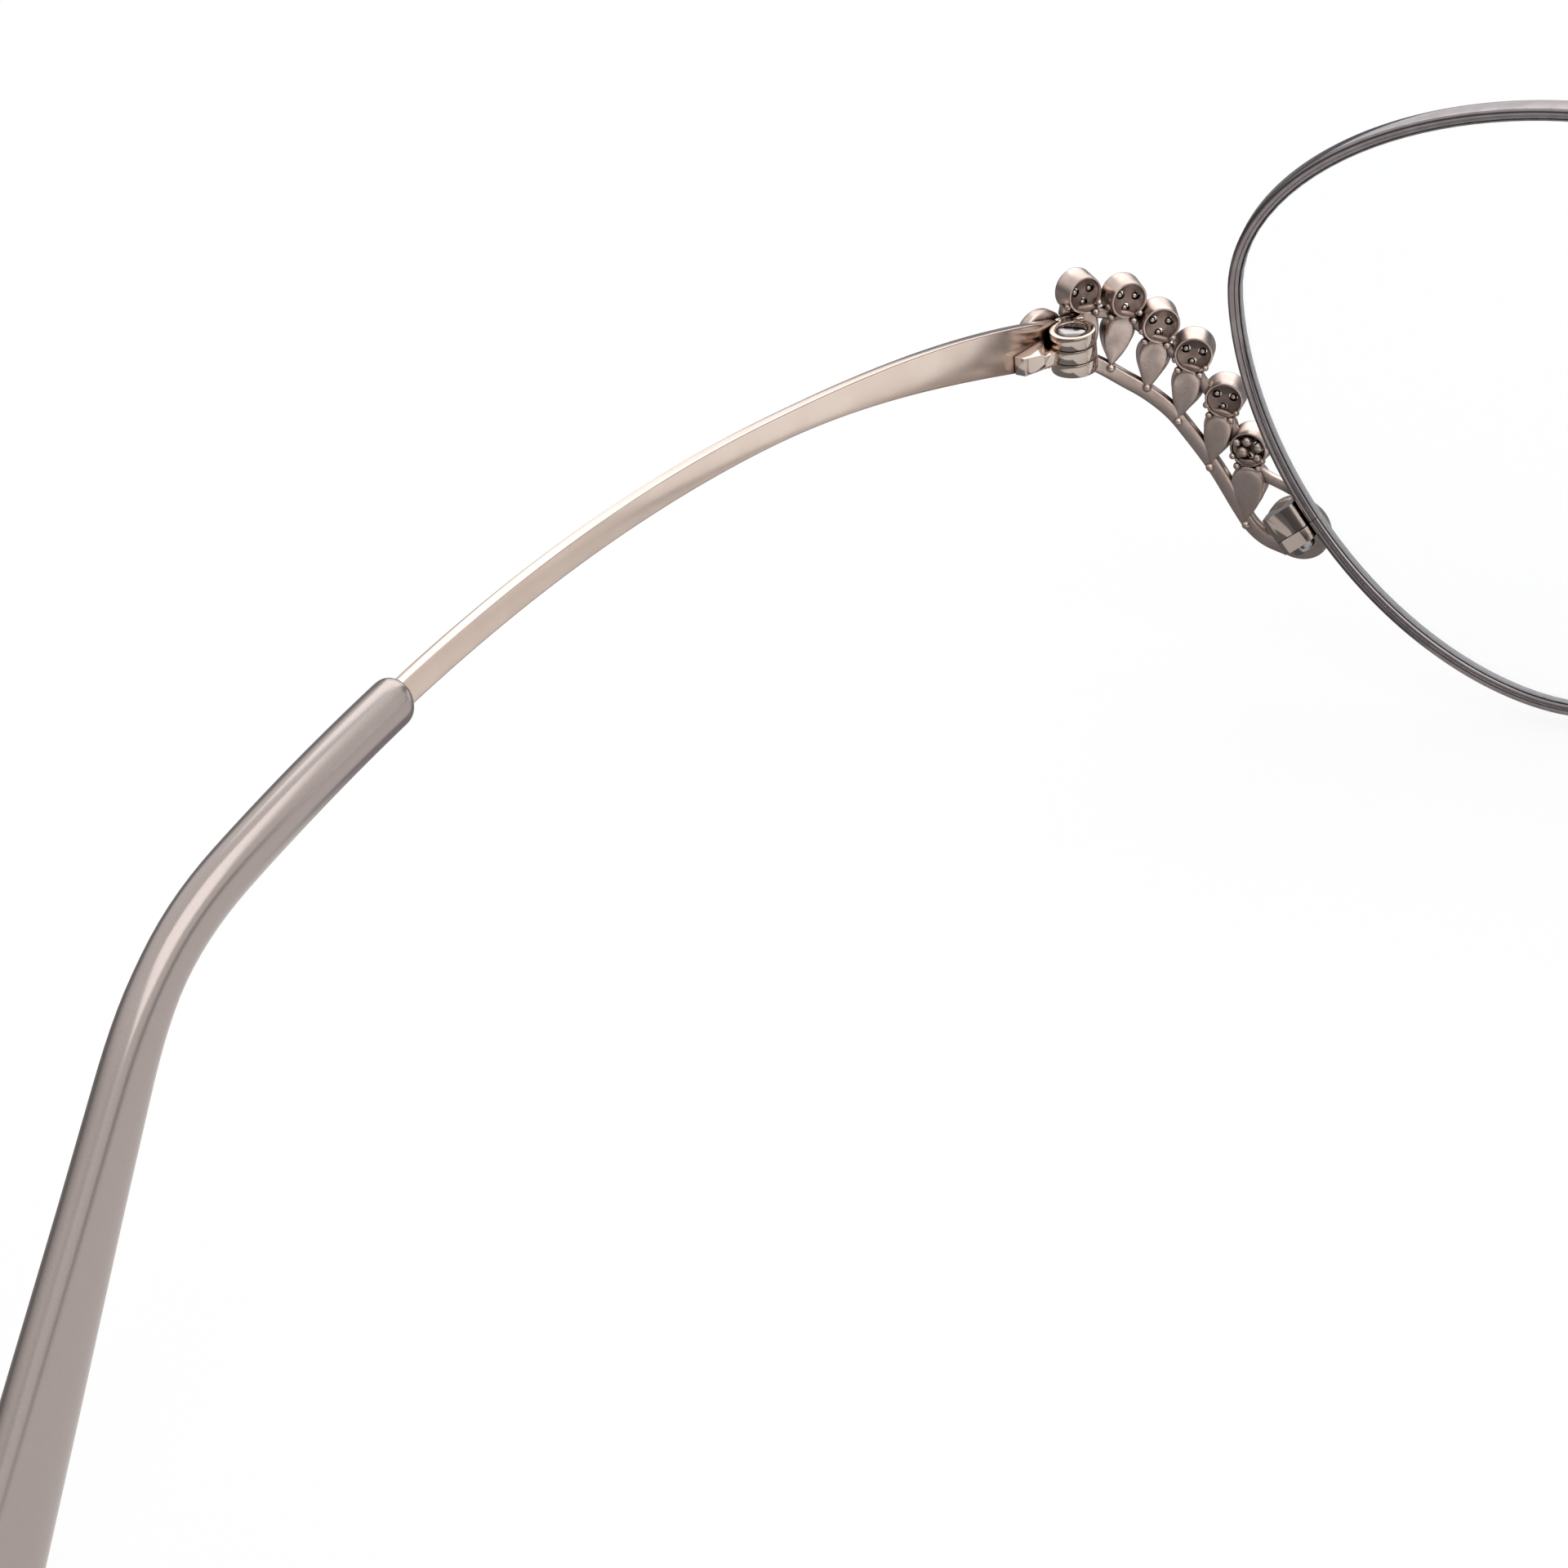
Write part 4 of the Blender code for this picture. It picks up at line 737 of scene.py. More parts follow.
def lens_outline():
    """Points of the flat outline, one for each step of the angle."""
    angles = np.radians(np.arange(0.0, 360.0, ANGLE_STEP))
    c, s = np.cos(angles), np.sin(angles)
    power = np.where(s >= 0.0, 1.0, 2.0 / DROP_POWER)
    tall = np.where(s >= 0.0, LENS_RISE, LENS_DROP)
    x = LENS_HALF * np.sign(c) * np.abs(c) ** power
    z = WIDEST_LINE + tall * np.sign(s) * np.abs(s) ** power
    return np.stack([x, z], -1)


def lengths(curve):
    """Length from the start to each point of a curve."""
    return np.concatenate([[0.0], np.cumsum(np.linalg.norm(np.diff(curve, axis=0), axis=1))])


def at_length(curve, where):
    """Points at given lengths along a curve."""
    run = lengths(curve)
    return np.stack([np.interp(where, run, curve[:, i]) for i in range(curve.shape[1])], -1)


def even_stations(count):
    """Even places on the outline from the split: point, outward and along."""
    start = int(round((360.0 - SPLIT_ANGLE) / ANGLE_STEP))
    loop = np.roll(lens_outline(), -start, axis=0)
    loop = np.vstack([loop, loop[:1]])
    total = lengths(loop)[-1]
    where = np.linspace(0.0, total, count, endpoint=False)
    along = (at_length(loop, (where + TANGENT_REACH) % total)
             - at_length(loop, (where - TANGENT_REACH) % total))
    along /= np.linalg.norm(along, axis=1)[:, None]
    return at_length(loop, where), np.stack([along[:, 1], -along[:, 0]], -1), along


def beside_edge(point, outward, profile):
    """A profile of (outward, depth) millimetres, laid on the dome at the edge."""
    return [on_dome(point[0] + outward[0] * r, point[1] + outward[1] * r, depth)
            for r, depth in profile]


# %% Eyewire
RIM_PROFILE = (
    (0.17, -0.80), (0.27, -0.76), (0.33, -0.69), (0.35, -0.58), (0.35, 0.50), (0.335, 0.62),
    (0.29, 0.71), (0.22, 0.77), (0.12, 0.795), (0.02, 0.80), (-0.08, 0.80), (-0.125, 0.785),
    (-0.15, 0.74), (-0.165, 0.69), (-0.195, 0.70), (-0.27, 0.69), (-0.37, 0.645),
    (-0.44, 0.57), (-0.46, 0.50), (-0.46, 0.32), (0.04, 0.0), (-0.46, -0.32),
    (-0.46, -0.75), (-0.40, -0.80),
)
RIM_STATIONS = 240
HALF_SPLIT = 0.03

places, outwards, alongs = even_stations(RIM_STATIONS)
rim = bmesh.new()
sections = [beside_edge(places[0] + alongs[0] * HALF_SPLIT, outwards[0], RIM_PROFILE)]
sections += [beside_edge(p, n, RIM_PROFILE) for p, n in zip(places[1:], outwards[1:])]
sections.append(beside_edge(places[0] - alongs[0] * HALF_SPLIT, outwards[0], RIM_PROFILE))
sweep(rim, sections)
finish_shape(rim)
add_pair("eyewire", rim, EYEWIRE, FRONT, ["rim"])

# %% [markdown]
# The lens is a dome of even thickness. Its rows run from the middle out to the
# bevel that sits in the eyewire's groove, and back on the other side. Just inside
# the groove the ground edge shows as a thin grey line, so it is a ring of its own.

# %% Lens
LENS_STATIONS = 120
LENS_DEPTH = 0.65
LENS_SHARES = (0.25, 0.5, 0.75, 0.94)
LENS_BEVEL = ((-0.54, -0.65), (-0.54, -0.28), (-0.04, 0.0), (-0.54, 0.28), (-0.54, 0.65))
GROUND_SECTION = (
    (-0.475, -0.62), (-0.475, 0.58), (-0.50, 0.61), (-0.55, 0.61), (-0.565, 0.58),
    (-0.565, -0.62), (-0.55, -0.645), (-0.50, -0.645),
)

lens_places, lens_outwards, _ = even_stations(LENS_STATIONS)


def lens_row(share, depth):
    return [on_dome(p[0] * share, p[1] * share, depth) for p in lens_places]


lens = bmesh.new()
rows = [lens_row(share, -LENS_DEPTH) for share in LENS_SHARES]
for reach, depth in LENS_BEVEL:
    rows.append([on_dome(p[0] + n[0] * reach, p[1] + n[1] * reach, depth)
                 for p, n in zip(lens_places, lens_outwards)])
rows += [lens_row(share, LENS_DEPTH) for share in reversed(LENS_SHARES)]
sweep(lens, rows, caps=False)
bmesh.ops.holes_fill(lens, edges=[e for e in lens.edges if e.is_boundary], sides=0)
finish_shape(lens)
add_pair("demo_lens", lens, LENS_CLEAR, FRONT, ["lens"])

ground_edge = bmesh.new()
sweep(ground_edge, [beside_edge(p, n, GROUND_SECTION)
                    for p, n in zip(lens_places, lens_outwards)], closed=True)
finish_shape(ground_edge)
add_pair("lens_ground_edge", ground_edge, GROUND, FRONT, [])

# %% [markdown]
# ## Temples
# A temple is a thin strip of metal on edge. Its line starts at the hinge, climbs
# back in a long arch, and drops behind the ear. Each place on the line carries a
# section, so the strip, its core and the moulded tip all follow the same line.

# %% Temple line
BARREL = 1.65
BLADE_GAP = 0.06
BLADE_THICK = 0.75
BLADE_OFFSET = BARREL + BLADE_GAP + BLADE_THICK / 2
BUTT_AHEAD = 0.25
TEMPLE_LENGTH = 138.0
LINE_STEP = 0.25
SPREAD_AT_HINGE = 7.51
SPREAD_BEHIND = -0.86
SPREAD_LENGTH = 91.0
START_CLIMB = 18.9
START_RADIUS = 203.0
EAR_RADIUS = 160.0
EAR_BEND_AT = 96.1
EAR_BEND_LENGTH = 16.0
EAR_DROP = 51.2
LOOK_AROUND = 1.0


def ease(value):
    """Smooth step from 0 to 1."""
    value = min(max(value, 0.0), 1.0)
    return value * value * (3 - 2 * value)


def temple_line():
    """Lengths along the temple and its points, stepped from direction to direction."""
    where = np.arange(-BUTT_AHEAD, TEMPLE_LENGTH - BUTT_AHEAD + LINE_STEP / 2, LINE_STEP)
    root = np.array((HINGE.x + BLADE_OFFSET, HINGE.y, 0.0))
    place = root.copy()
    points = []
    for s in where:
        points.append(place.copy())
        run = max(s, 0.0)
        fanned = SPREAD_AT_HINGE * max(1.0 - run / SPREAD_LENGTH, 0.0) ** 2
        spread = math.radians(SPREAD_BEHIND + fanned)
        tighter = (1 / EAR_RADIUS - 1 / START_RADIUS) * run ** 2 / (2 * EAR_BEND_AT)
        turned = run / START_RADIUS + tighter
        bend = ease((run - EAR_BEND_AT) / EAR_BEND_LENGTH + 0.5)
        climb = (math.radians(START_CLIMB) - turned) * (1 - bend) - math.radians(EAR_DROP) * bend
        place += LINE_STEP * np.array((math.sin(spread) * math.cos(climb),
                                       math.cos(spread) * math.cos(climb), math.sin(climb)))
    points = np.array(points)
    points -= points[int(round(BUTT_AHEAD / LINE_STEP))] - root
    return where, points


LINE_AT, LINE = temple_line()


def line_point(s):
    return Vector([np.interp(s, LINE_AT, LINE[:, i]) for i in range(3)])


def temple_section(s, shape):
    """Section of (outward, up) millimetres at a distance along the temple."""
    low, high = max(s - LOOK_AROUND, LINE_AT[0]), min(s + LOOK_AROUND, LINE_AT[-1])
    along = (line_point(high) - line_point(low)).normalized()
    outward = along.cross(UP).normalized()
    up = outward.cross(along)
    here = line_point(s)
    return [world(here + outward * y + up * z) for y, z in shape]


print("temple line:", len(LINE), "points")

# %% Blade
BLADE_TALL = 3.4
BLADE_SLIM = 1.85
BLADE_TAPER = 34.0
BLADE_EDGE = 0.13
BLADE_STEP = 1.2
CORE_TALL = 1.3
CORE_TAPER = 3.1
TIP_FROM = 72.7
CORE_END = TEMPLE_LENGTH - BUTT_AHEAD - 7.0


def rounded_rectangle(half_wide, half_tall, radius, steps=4):
    """Points of a rectangle with round corners, centred on the origin."""
    points = []
    for corner, (sy, sz) in enumerate(((1, 1), (-1, 1), (-1, -1), (1, -1))):
        for k in range(steps + 1):
            angle = math.pi / 2 * (corner + k / steps)
            points.append((sy * (half_wide - radius) + radius * math.cos(angle),
                           sz * (half_tall - radius) + radius * math.sin(angle)))
    return points


def blade_section(s):
    tall = BLADE_SLIM + (BLADE_TALL - BLADE_SLIM) * (1.0 - ease(s / BLADE_TAPER))
    tall += (CORE_TALL - BLADE_SLIM) * ease((s - TIP_FROM) / CORE_TAPER)
    return temple_section(s, rounded_rectangle(BLADE_THICK / 2, tall / 2, BLADE_EDGE))


blade = bmesh.new()
spots = [-BUTT_AHEAD, 0.1] + list(np.arange(1.0, CORE_END, BLADE_STEP)) + [CORE_END]
sweep(blade, [blade_section(s) for s in spots])
finish_shape(blade)
add_pair("blade", blade, SATIN_ROSE, TEMPLES, ["temple_blade"], CRISP)

# %% [markdown]
# The tip is moulded over the core. Its front is softly rounded, and it widens
# behind the bend to a broad end that spreads the load behind the ear. Its section
# is an oval that is a little fuller than an ellipse.

# %% Temple tip
TIP_STOPS = np.array((
    (72.7, 3.1, 2.6), (78.0, 3.15, 2.55), (97.0, 3.3, 2.4), (110.0, 4.6, 2.6),
    (120.0, 5.8, 2.85), (130.0, 6.9, 3.1), (137.75, 7.6, 3.2),
))
TIP_END = TEMPLE_LENGTH - BUTT_AHEAD - 0.07
TIP_FIT = 0.985
TIP_OVAL = 0.87
TIP_MOUTH = 0.9
TIP_MOUTH_SHARE = 0.62
TIP_COUNT = 40
MOUTH_STEPS = 6
END_STEPS = 11


def tip_size(s):
    """Half the height and half the thickness of the tip."""
    return [TIP_FIT * np.interp(s, TIP_STOPS[:, 0], TIP_STOPS[:, i]) / 2 for i in (1, 2)]


def tip_section(s, size_from, share=1.0):
    """Oval section at s, as large as at another distance times a share."""
    tall, thick = tip_size(size_from)
    shape = [(thick * share * math.copysign(abs(c) ** TIP_OVAL, c),
              tall * share * math.copysign(abs(v) ** TIP_OVAL, v))
             for c, v in circle_points(TIP_COUNT, 0.5)]
    return temple_section(s, shape)


tip = bmesh.new()
sections = []
for k in range(MOUTH_STEPS + 1):
    angle = math.pi / 2 * k / MOUTH_STEPS
    share = TIP_MOUTH_SHARE + (1 - TIP_MOUTH_SHARE) * math.sin(angle)
    sections.append(tip_section(TIP_FROM + TIP_MOUTH * (1 - math.cos(angle)), TIP_FROM, share))
dome_from = TIP_END - tip_size(TIP_END)[0]
for s in np.arange(TIP_FROM + 2 * TIP_MOUTH, dome_from, 1.0):
    sections.append(tip_section(s, s))
for k in range(END_STEPS):
    angle = math.pi / 2 * k / (END_STEPS - 0.5)
    dome_at = dome_from + (TIP_END - dome_from) * math.sin(angle)
    sections.append(tip_section(dome_at, dome_from, math.cos(angle)))
sweep(tip, sections)
finish_shape(tip)
add_pair("tip", tip, PEARL, TEMPLES, ["temple_tip"])

# %% [markdown]
# ## End pieces
# The jewelled end piece is one casting. It follows a curve in plan, from the rim
# round to the hinge, so all of its parts are placed by a length along that curve
# and a level. At each place a frame gives along, down and back.

# %% Plan curve
PLAN_POINTS = (
    (51.0, 3.05), (54.5, 3.45), (58.5, 3.9), (61.0, 4.4), (63.3, 5.0), (65.6, 5.9),
    (67.8, 7.1), (69.6, 8.5), (71.0, 10.0), (71.75, 11.8), (72.1, 14.2),
)
ROUND_SEATS = ((19.6, 2.75), (16.45, 1.95), (14.2, -0.1), (11.9, -2.4), (9.8, -5.85), (8.1, -9.65))
PEAR_TIPS = (
    (19.6, -2.4), (17.9, -3.2), (15.35, -4.95), (13.2, -7.7), (11.0, -11.3), (8.5, -15.8),
)
ROUND_TURNS = (20.0, 24.0, 20.0, 10.0, 6.0, 0.0)
SETTINGS = range(6)
HINGE_ALONG = 23.0


def smooth_curve(points, steps=24):
    """Smooth curve through its points."""
    knots = [np.array(p, float) for p in points]
    knots = [2 * knots[0] - knots[1]] + knots + [2 * knots[-1] - knots[-2]]
    curve = []
    for a, b, c, d in zip(knots, knots[1:], knots[2:], knots[3:]):
        for t in np.linspace(0.0, 1.0, steps, endpoint=False):
            curve.append(0.5 * (2 * b + (c - a) * t + (2 * a - 5 * b + 4 * c - d) * t ** 2
                                + (3 * b - a - 3 * c + d) * t ** 3))
    curve.append(knots[-2])
    return np.array(curve)


PLAN = smooth_curve(PLAN_POINTS)


def plan_place(along, level):
    """Frame in metres on the plan curve: along, down and back."""
    here = at_length(PLAN, along)
    run = at_length(PLAN, along + 0.1) - at_length(PLAN, along - 0.1)
    tangent = Vector((run[0], run[1], 0.0)).normalized()
    return frame_at(world((here[0], here[1], level)), tangent, -UP, UP.cross(tangent))


def on_plan(along, level, back):
    return placed(plan_place(along, level), 0.0, 0.0, back)


def element_place(index, turned=0.0):
    """Frame on a setting, its second axis running down to the pear's tip."""
    along, level = ROUND_SEATS[index]
    tip_along, tip_level = PEAR_TIPS[index]
    lean = math.atan2(along - tip_along, level - tip_level)
    facing = plan_place(along, level) @ Matrix.Rotation(math.radians(-turned), 4, "Y")
    return facing @ Matrix.Rotation(lean, 4, "Z")


def round_place(index):
    """Frame on a round setting, which faces further outward than its pear."""
    return element_place(index, ROUND_TURNS[index])


print("plan curve:", round(lengths(PLAN)[-1], 2), "mm long")

# %% [markdown]
# A round setting is a cup turned on its own axis: a tapered wall, a pocket in front for the stone
# and an open ring behind. In the ring sits a plate with small holes, as jewellers pierce it to let
# light in, and its dark tint is painted shade for the recess. The plate starts as a circle with
# smaller circles in it. Filling the area between them and pulling it out is steadier than cutting
# such small holes by a Boolean.

# %% Round settings
ROUND_STONE = 1.25
CUP_OUTER = 1.56
CUP_PROFILE = (
    (1.16, -0.25), (1.16, 0.34), (1.185, 0.42), (1.235, 0.485), (1.30, 0.50), (1.345, 0.48),
    (1.37, 0.42), (1.42, 0.0), (1.49, -0.5), (1.545, -0.92), (CUP_OUTER, -1.02), (1.55, -1.10),
    (1.50, -1.15), (1.37, -1.15), (1.30, -1.08), (1.28, -0.98), (1.28, -0.25), (1.16, -0.25),
)
PLATE_RADIUS = 1.165
PLATE_FRONT = -0.20
PLATE_BACK = 0.10
PLATE_DISH = 0.22
HOLE_RADIUS = 0.33
HOLE_REACH = 0.66
HOLE_ANGLES = (-24.0, -156.0, 90.0)
HOLE_SPOTS = [(HOLE_REACH * math.cos(math.radians(a)), HOLE_REACH * math.sin(math.radians(a)))
              for a in HOLE_ANGLES]


def pierced_plate(place):
    """Back plate of one setting: a filled circle with three holes, pulled out."""
    plate = bmesh.new()
    circles = [(0.0, 0.0, PLATE_RADIUS, 56)] + [(x, y, HOLE_RADIUS, 24) for x, y in HOLE_SPOTS]
    for x, y, radius, count in circles:
        at = Matrix.Translation((x * MM, y * MM, PLATE_FRONT * MM))
        bmesh.ops.create_circle(plate, segments=count, radius=radius * MM, matrix=at)
    bmesh.ops.triangle_fill(plate, use_beauty=True, use_dissolve=False, edges=plate.edges[:],
                            normal=UP)
    for vert in verts_of(bmesh.ops.extrude_face_region(plate, geom=plate.faces[:])["geom"]):
        share = math.hypot(vert.co.x, vert.co.y) / (PLATE_RADIUS * MM)
        vert.co.z = (PLATE_BACK + PLATE_DISH * share ** 4) * MM
    bmesh.ops.transform(plate, matrix=place, verts=plate.verts)
    finish_shape(plate)
    return plate


ornament = bmesh.new()
recess = bmesh.new()
for index in SETTINGS:
    turn(ornament, CUP_PROFILE, round_place(index), 56)
    merge_into(recess, pierced_plate(round_place(index)))
print("settings with", len(HOLE_ANGLES), "holes each:", len(recess.faces), "faces")

# %% [markdown]
# A pear setting has a smooth domed back, drawn to a point where it meets the
# rail. Its outline is computed once and swept from the middle of the dome over
# the shoulder, down the wall and into the pocket. The last pear is larger than
# the others, but only its back, so that its stone still fits.

# %% Pear settings
PEAR_LONG = 3.45
PEAR_WIDE = 2.05
PEAR_COUNT = 48
PEAR_WALL = 0.31
PEAR_GAP = ROUND_STONE + PEAR_LONG / 2 + 1.8 * PEAR_WALL
PEAR_FRONT = -1.0
PEAR_BLEND = 1.2
# Each layer: share of the length, share of the width, height, and how far it is
# shifted towards the round setting. The inner layers close to a line, so that the
# back rises to a keel like the hull of a boat.
PEAR_LAYERS = (
    (0.92, 0.015, 0.52, 0.24), (0.98, 0.24, 0.515, 0.25), (1.06, 0.54, 0.495, 0.27),
    (1.13, 0.78, 0.455, 0.28), (1.17, 0.91, 0.41, 0.29), (1.19, 0.96, 0.36, 0.29),
    (1.20, 0.98, 0.28, 0.29), (1.20, 1.01, 0.05, 0.27), (1.18, 1.08, -0.3, 0.17),
    (1.17, 1.16, -0.7, 0.05), (1.16, 1.24, -1.0, 0.0), (1.165, 1.25, -1.08, 0.0),
    (1.14, 1.21, -1.14, 0.0), (1.10, 1.14, -1.15, 0.0), (1.05, 1.07, -1.12, 0.0),
    (1.03, 1.045, -1.04, 0.0), (1.03, 1.045, -0.25, 0.0), (0.5, 0.5, -0.25, 0.0),
    (0.06, 0.06, -0.25, 0.0),
)
LAST_PEAR = {"size": (1.08, 1.22), "drop": 0.38}


def pear_outline(long, wide, count=PEAR_COUNT):
    """Pear outline in (x, y), its tip at +y."""
    fullest = max(math.sin(t) * math.sin(t / 2) for t in np.linspace(0.0, math.pi, 181))
    angles = [2 * math.pi * k / count for k in range(count)]
    return [(0.5 * wide * math.sin(t) * abs(math.sin(t / 2)) / fullest, 0.5 * long * math.cos(t))
            for t in angles]


def pear_place(index):
    return shifted(element_place(index), 0.0, PEAR_GAP, 0.0)


def pear_body(bm, place, size=(1.0, 1.0), drop=0.0):
    """Pear-shaped setting. Size and drop change its back, not its open front."""
    rows = []
    for long_share, wide_share, height, shift in PEAR_LAYERS:
        own = max(0.0, min(1.0, (height - PEAR_FRONT) / PEAR_BLEND))
        long = PEAR_LONG * long_share * (1.0 + own * (size[0] - 1.0))
        wide = PEAR_WIDE * wide_share * (1.0 + own * (size[1] - 1.0))
        rows.append([placed(place, x, y - shift + own * drop, height)
                     for x, y in pear_outline(long, wide)])
    sweep(bm, rows)


for index in SETTINGS[:-1]:
    pear_body(ornament, pear_place(index))
pear_body(ornament, pear_place(SETTINGS[-1]), **LAST_PEAR)
print("cups and pears:", len(ornament.faces), "faces")

# %% [markdown]
# Little beads sit where the settings meet each other and the rail. They are the
# ends of the prongs, and each is a small sphere sunk halfway into the casting.
# Behind each pierced hole a bead of the casting shows, and the last setting is full of them. A
# pillow of metal fills the valley below each cup, and its dark tint is painted shade.

# %% Beads
RAIL_BEAD, RAIL_BEAD_BACK = 0.33, 0.40
JOINT_BEADS = ((0.80, 1.46, 0.27), (-0.82, 1.42, 0.27), (1.14, 0.70, 0.25), (-1.10, 0.74, 0.22))
JOINT_BEAD_BACK = 0.42
HOLE_BEAD, HOLE_BEAD_BACK, HOLE_BEAD_DOWN = 0.27, -0.16, 0.07
LAST_BEADS = (
    (-0.78, -0.30, 0.42), (0.08, -0.62, 0.40), (-0.72, 0.55, 0.36), (0.38, 0.22, 0.46),
    (0.86, -0.42, 0.34),
)
LAST_BEAD_BACK = 0.34
PILLOW_AT = (0.0, 1.10, 0.16)
PILLOW_HALVES = (1.05, 0.36, 0.38)


def bead(bm, centre, radius):
    made = bmesh.ops.create_icosphere(bm, subdivisions=3, radius=radius * MM)["verts"]
    bmesh.ops.translate(bm, verts=made, vec=centre)


def pillow(bm, place):
    """Squashed ball of metal that fills the valley between two settings."""
    made = bmesh.ops.create_icosphere(bm, subdivisions=3, radius=MM)["verts"]
    bmesh.ops.scale(bm, vec=PILLOW_HALVES, verts=made)
    bmesh.ops.transform(bm, matrix=shifted(place, *PILLOW_AT), verts=made)


for index in SETTINGS:
    place = element_place(index)
    bead(ornament, on_plan(*PEAR_TIPS[index], RAIL_BEAD_BACK), RAIL_BEAD)
    for x, y, radius in JOINT_BEADS:
        bead(ornament, placed(place, x, y, JOINT_BEAD_BACK), radius)
    pillow(recess, place)
    inside = [(x, y + HOLE_BEAD_DOWN, HOLE_BEAD_BACK, HOLE_BEAD) for x, y in HOLE_SPOTS]
    if index == SETTINGS[-1]:
        inside = [(x, y, LAST_BEAD_BACK, radius) for x, y, radius in LAST_BEADS]
    for x, y, height, radius in inside:
        bead(ornament, placed(round_place(index), x, y, height), radius)
print("with beads:", len(ornament.faces), "faces")

# %% [markdown]
# The rail runs under the pears' tips and carries them. It is a rounded bar swept
# along its own line on the plan curve. A thinner spine behind the settings and a
# plate behind the hinge join everything into one casting.

# %% Rail, spine and plate
RAIL_EDGE = (
    (20.6, -2.4), (18.9, -3.55), (17.3, -4.75), (15.7, -5.9), (14.1, -7.4), (12.8, -9.2),
    (11.1, -11.8), (9.4, -15.0), (8.5, -16.4), (7.3, -17.4), (5.6, -18.0),
)
PLATE_EDGE = ((HINGE_ALONG - 1.2, -2.33), (19.2, -2.75))
SPINE_END = (5.2, -12.84)
SPINE_OVERRUN = 0.6
SPINE_SINK = 0.4


def ribbon(bm, edge, width, front, back, count, radius=0.18):
    """Rounded bar on the casting, lying above a line of (along, level) points."""
    curve = smooth_curve(edge)
    line = at_length(curve, np.linspace(0.0, lengths(curve)[-1], count))
    run = np.gradient(line, axis=0)
    run /= np.linalg.norm(run, axis=1)[:, None]
    side = np.stack([run[:, 1], -run[:, 0]], -1)
    shape = rounded_rectangle(width / 2, (front + back) / 2, radius, 3)
    sections = []
    for p, n in zip(line, side):
        spots = [(p + n * (width / 2 + across), deep) for across, deep in shape]
        sections.append([on_plan(q[0], q[1], deep + (back - front) / 2) for q, deep in spots])
    sweep(bm, sections)


spine_line = []
for seat, tip_point in zip(ROUND_SEATS, PEAR_TIPS):
    start, end = np.array(seat), np.array(tip_point)
    spine_line.append(start + (end - start) / np.linalg.norm(end - start) * CUP_OUTER)
overrun = SPINE_OVERRUN * (spine_line[0] - spine_line[1])
spine_line = [spine_line[0] + overrun] + spine_line + [np.array(SPINE_END)]
spine_line = [p - np.array((0.0, SPINE_SINK)) for p in spine_line]
ribbon(ornament, RAIL_EDGE, width=1.15, front=0.4, back=0.42, count=90, radius=0.22)
ribbon(ornament, spine_line, width=0.8, front=0.60, back=0.02, count=80)
ribbon(ornament, PLATE_EDGE, width=4.5, front=0.30, back=0.22, count=24, radius=0.12)
print("with rail, spine and plate:", len(ornament.faces), "faces")

# %% [markdown]
# Two plain discs close the casting: one on the rim beside the closing block, and
# the round boss behind the hinge. Both are turned, with a domed front.

# %% Discs
DISC_PROFILE = (
    (0.0, 0.30), (0.88, 0.30), (0.96, 0.27), (1.0, 0.18), (1.0, -0.42), (0.97, -0.55),
    (0.85, -0.70), (0.6, -0.83), (0.3, -0.89), (0.0, -0.90),
)
DISCS = ((2.45, 4.6, -15.75), (2.0, HINGE_ALONG, 0.2))
for radius, along, level in DISCS:
    profile = [(share * radius, height) for share, height in DISC_PROFILE]
    turn(ornament, profile, plan_place(along, level), 64)
finish_shape(ornament)
add_pair("end_piece", ornament, CASTING, FRONT, ["ornament"], CAST)
add_pair("setting_backs", recess, RECESS_SHADE, FRONT, [], CAST)

# %% [markdown]
# ## Stones
# Each setting holds a cut stone: a flat table, a belt of facets, the girdle and
# a pointed back. Facets stay flat and sharp, so these pieces aren't smoothed.

# %% Stones
STONE_LAYERS = ((0.02, -0.28), (0.5, -0.55), (1.0, -0.94), (1.0, -1.02), (0.82, -1.22),
                (0.58, -1.36))


def round_outline(share):
    return [(ROUND_STONE * share * c, ROUND_STONE * share * s) for c, s in circle_points(16)]


def pear_stone_outline(share):
    return pear_outline(PEAR_LONG * share, PEAR_WIDE * share, 18)


for name, place_of, outline in (("round_stones", round_place, round_outline),
                                ("pear_stones", pear_place, pear_stone_outline)):
    stones = bmesh.new()
    for index in SETTINGS:
        place = place_of(index)
        sweep(stones, [[placed(place, x, y, height) for x, y in outline(share)]
                       for share, height in STONE_LAYERS])
    finish_shape(stones)
    nodes = [name[:-1] + "_%d" % (index + 1) for index in SETTINGS]
    add_pair(name, stones, CRYSTAL, FRONT, nodes, FACETED)

# %% [markdown]
# ## Hinges
# The hinge has three knuckles on one screw. The top and bottom ones belong to
# the front, and the middle one to the temple. They are rings turned on the
# screw's axis. Webs join the front's knuckles to a leaf on the casting.

# %% Front half of the hinge
KNUCKLE = 1.0
KNUCKLE_GAP = 0.04
BORE = 0.63
LOW = KNUCKLE / 2 + KNUCKLE_GAP
HIGH = LOW + KNUCKLE
EDGE = 0.09
CHAMFER = 0.03
HEAD_SEAT = 1.08
HEAD_DEPTH = 0.45
RING_STEPS = 64
LEAF_BACK = 0.88
LEAF_SPAN = (HINGE_ALONG - 3.1, HINGE_ALONG - 0.9)
LEAF_HALF_TALL = 1.5
LEAF_HALF_THICK = 0.35
LEAF_EDGE = 0.10
WEB_SPAN = (HINGE_ALONG - 2.8, HINGE_ALONG - 1.0)
WEB_REACH = 1.3
WEB_EDGE = 0.06
WEB_LEVELS = ((LOW + 0.03, HIGH - 0.02), (-HIGH + 0.02, -LOW - 0.03))
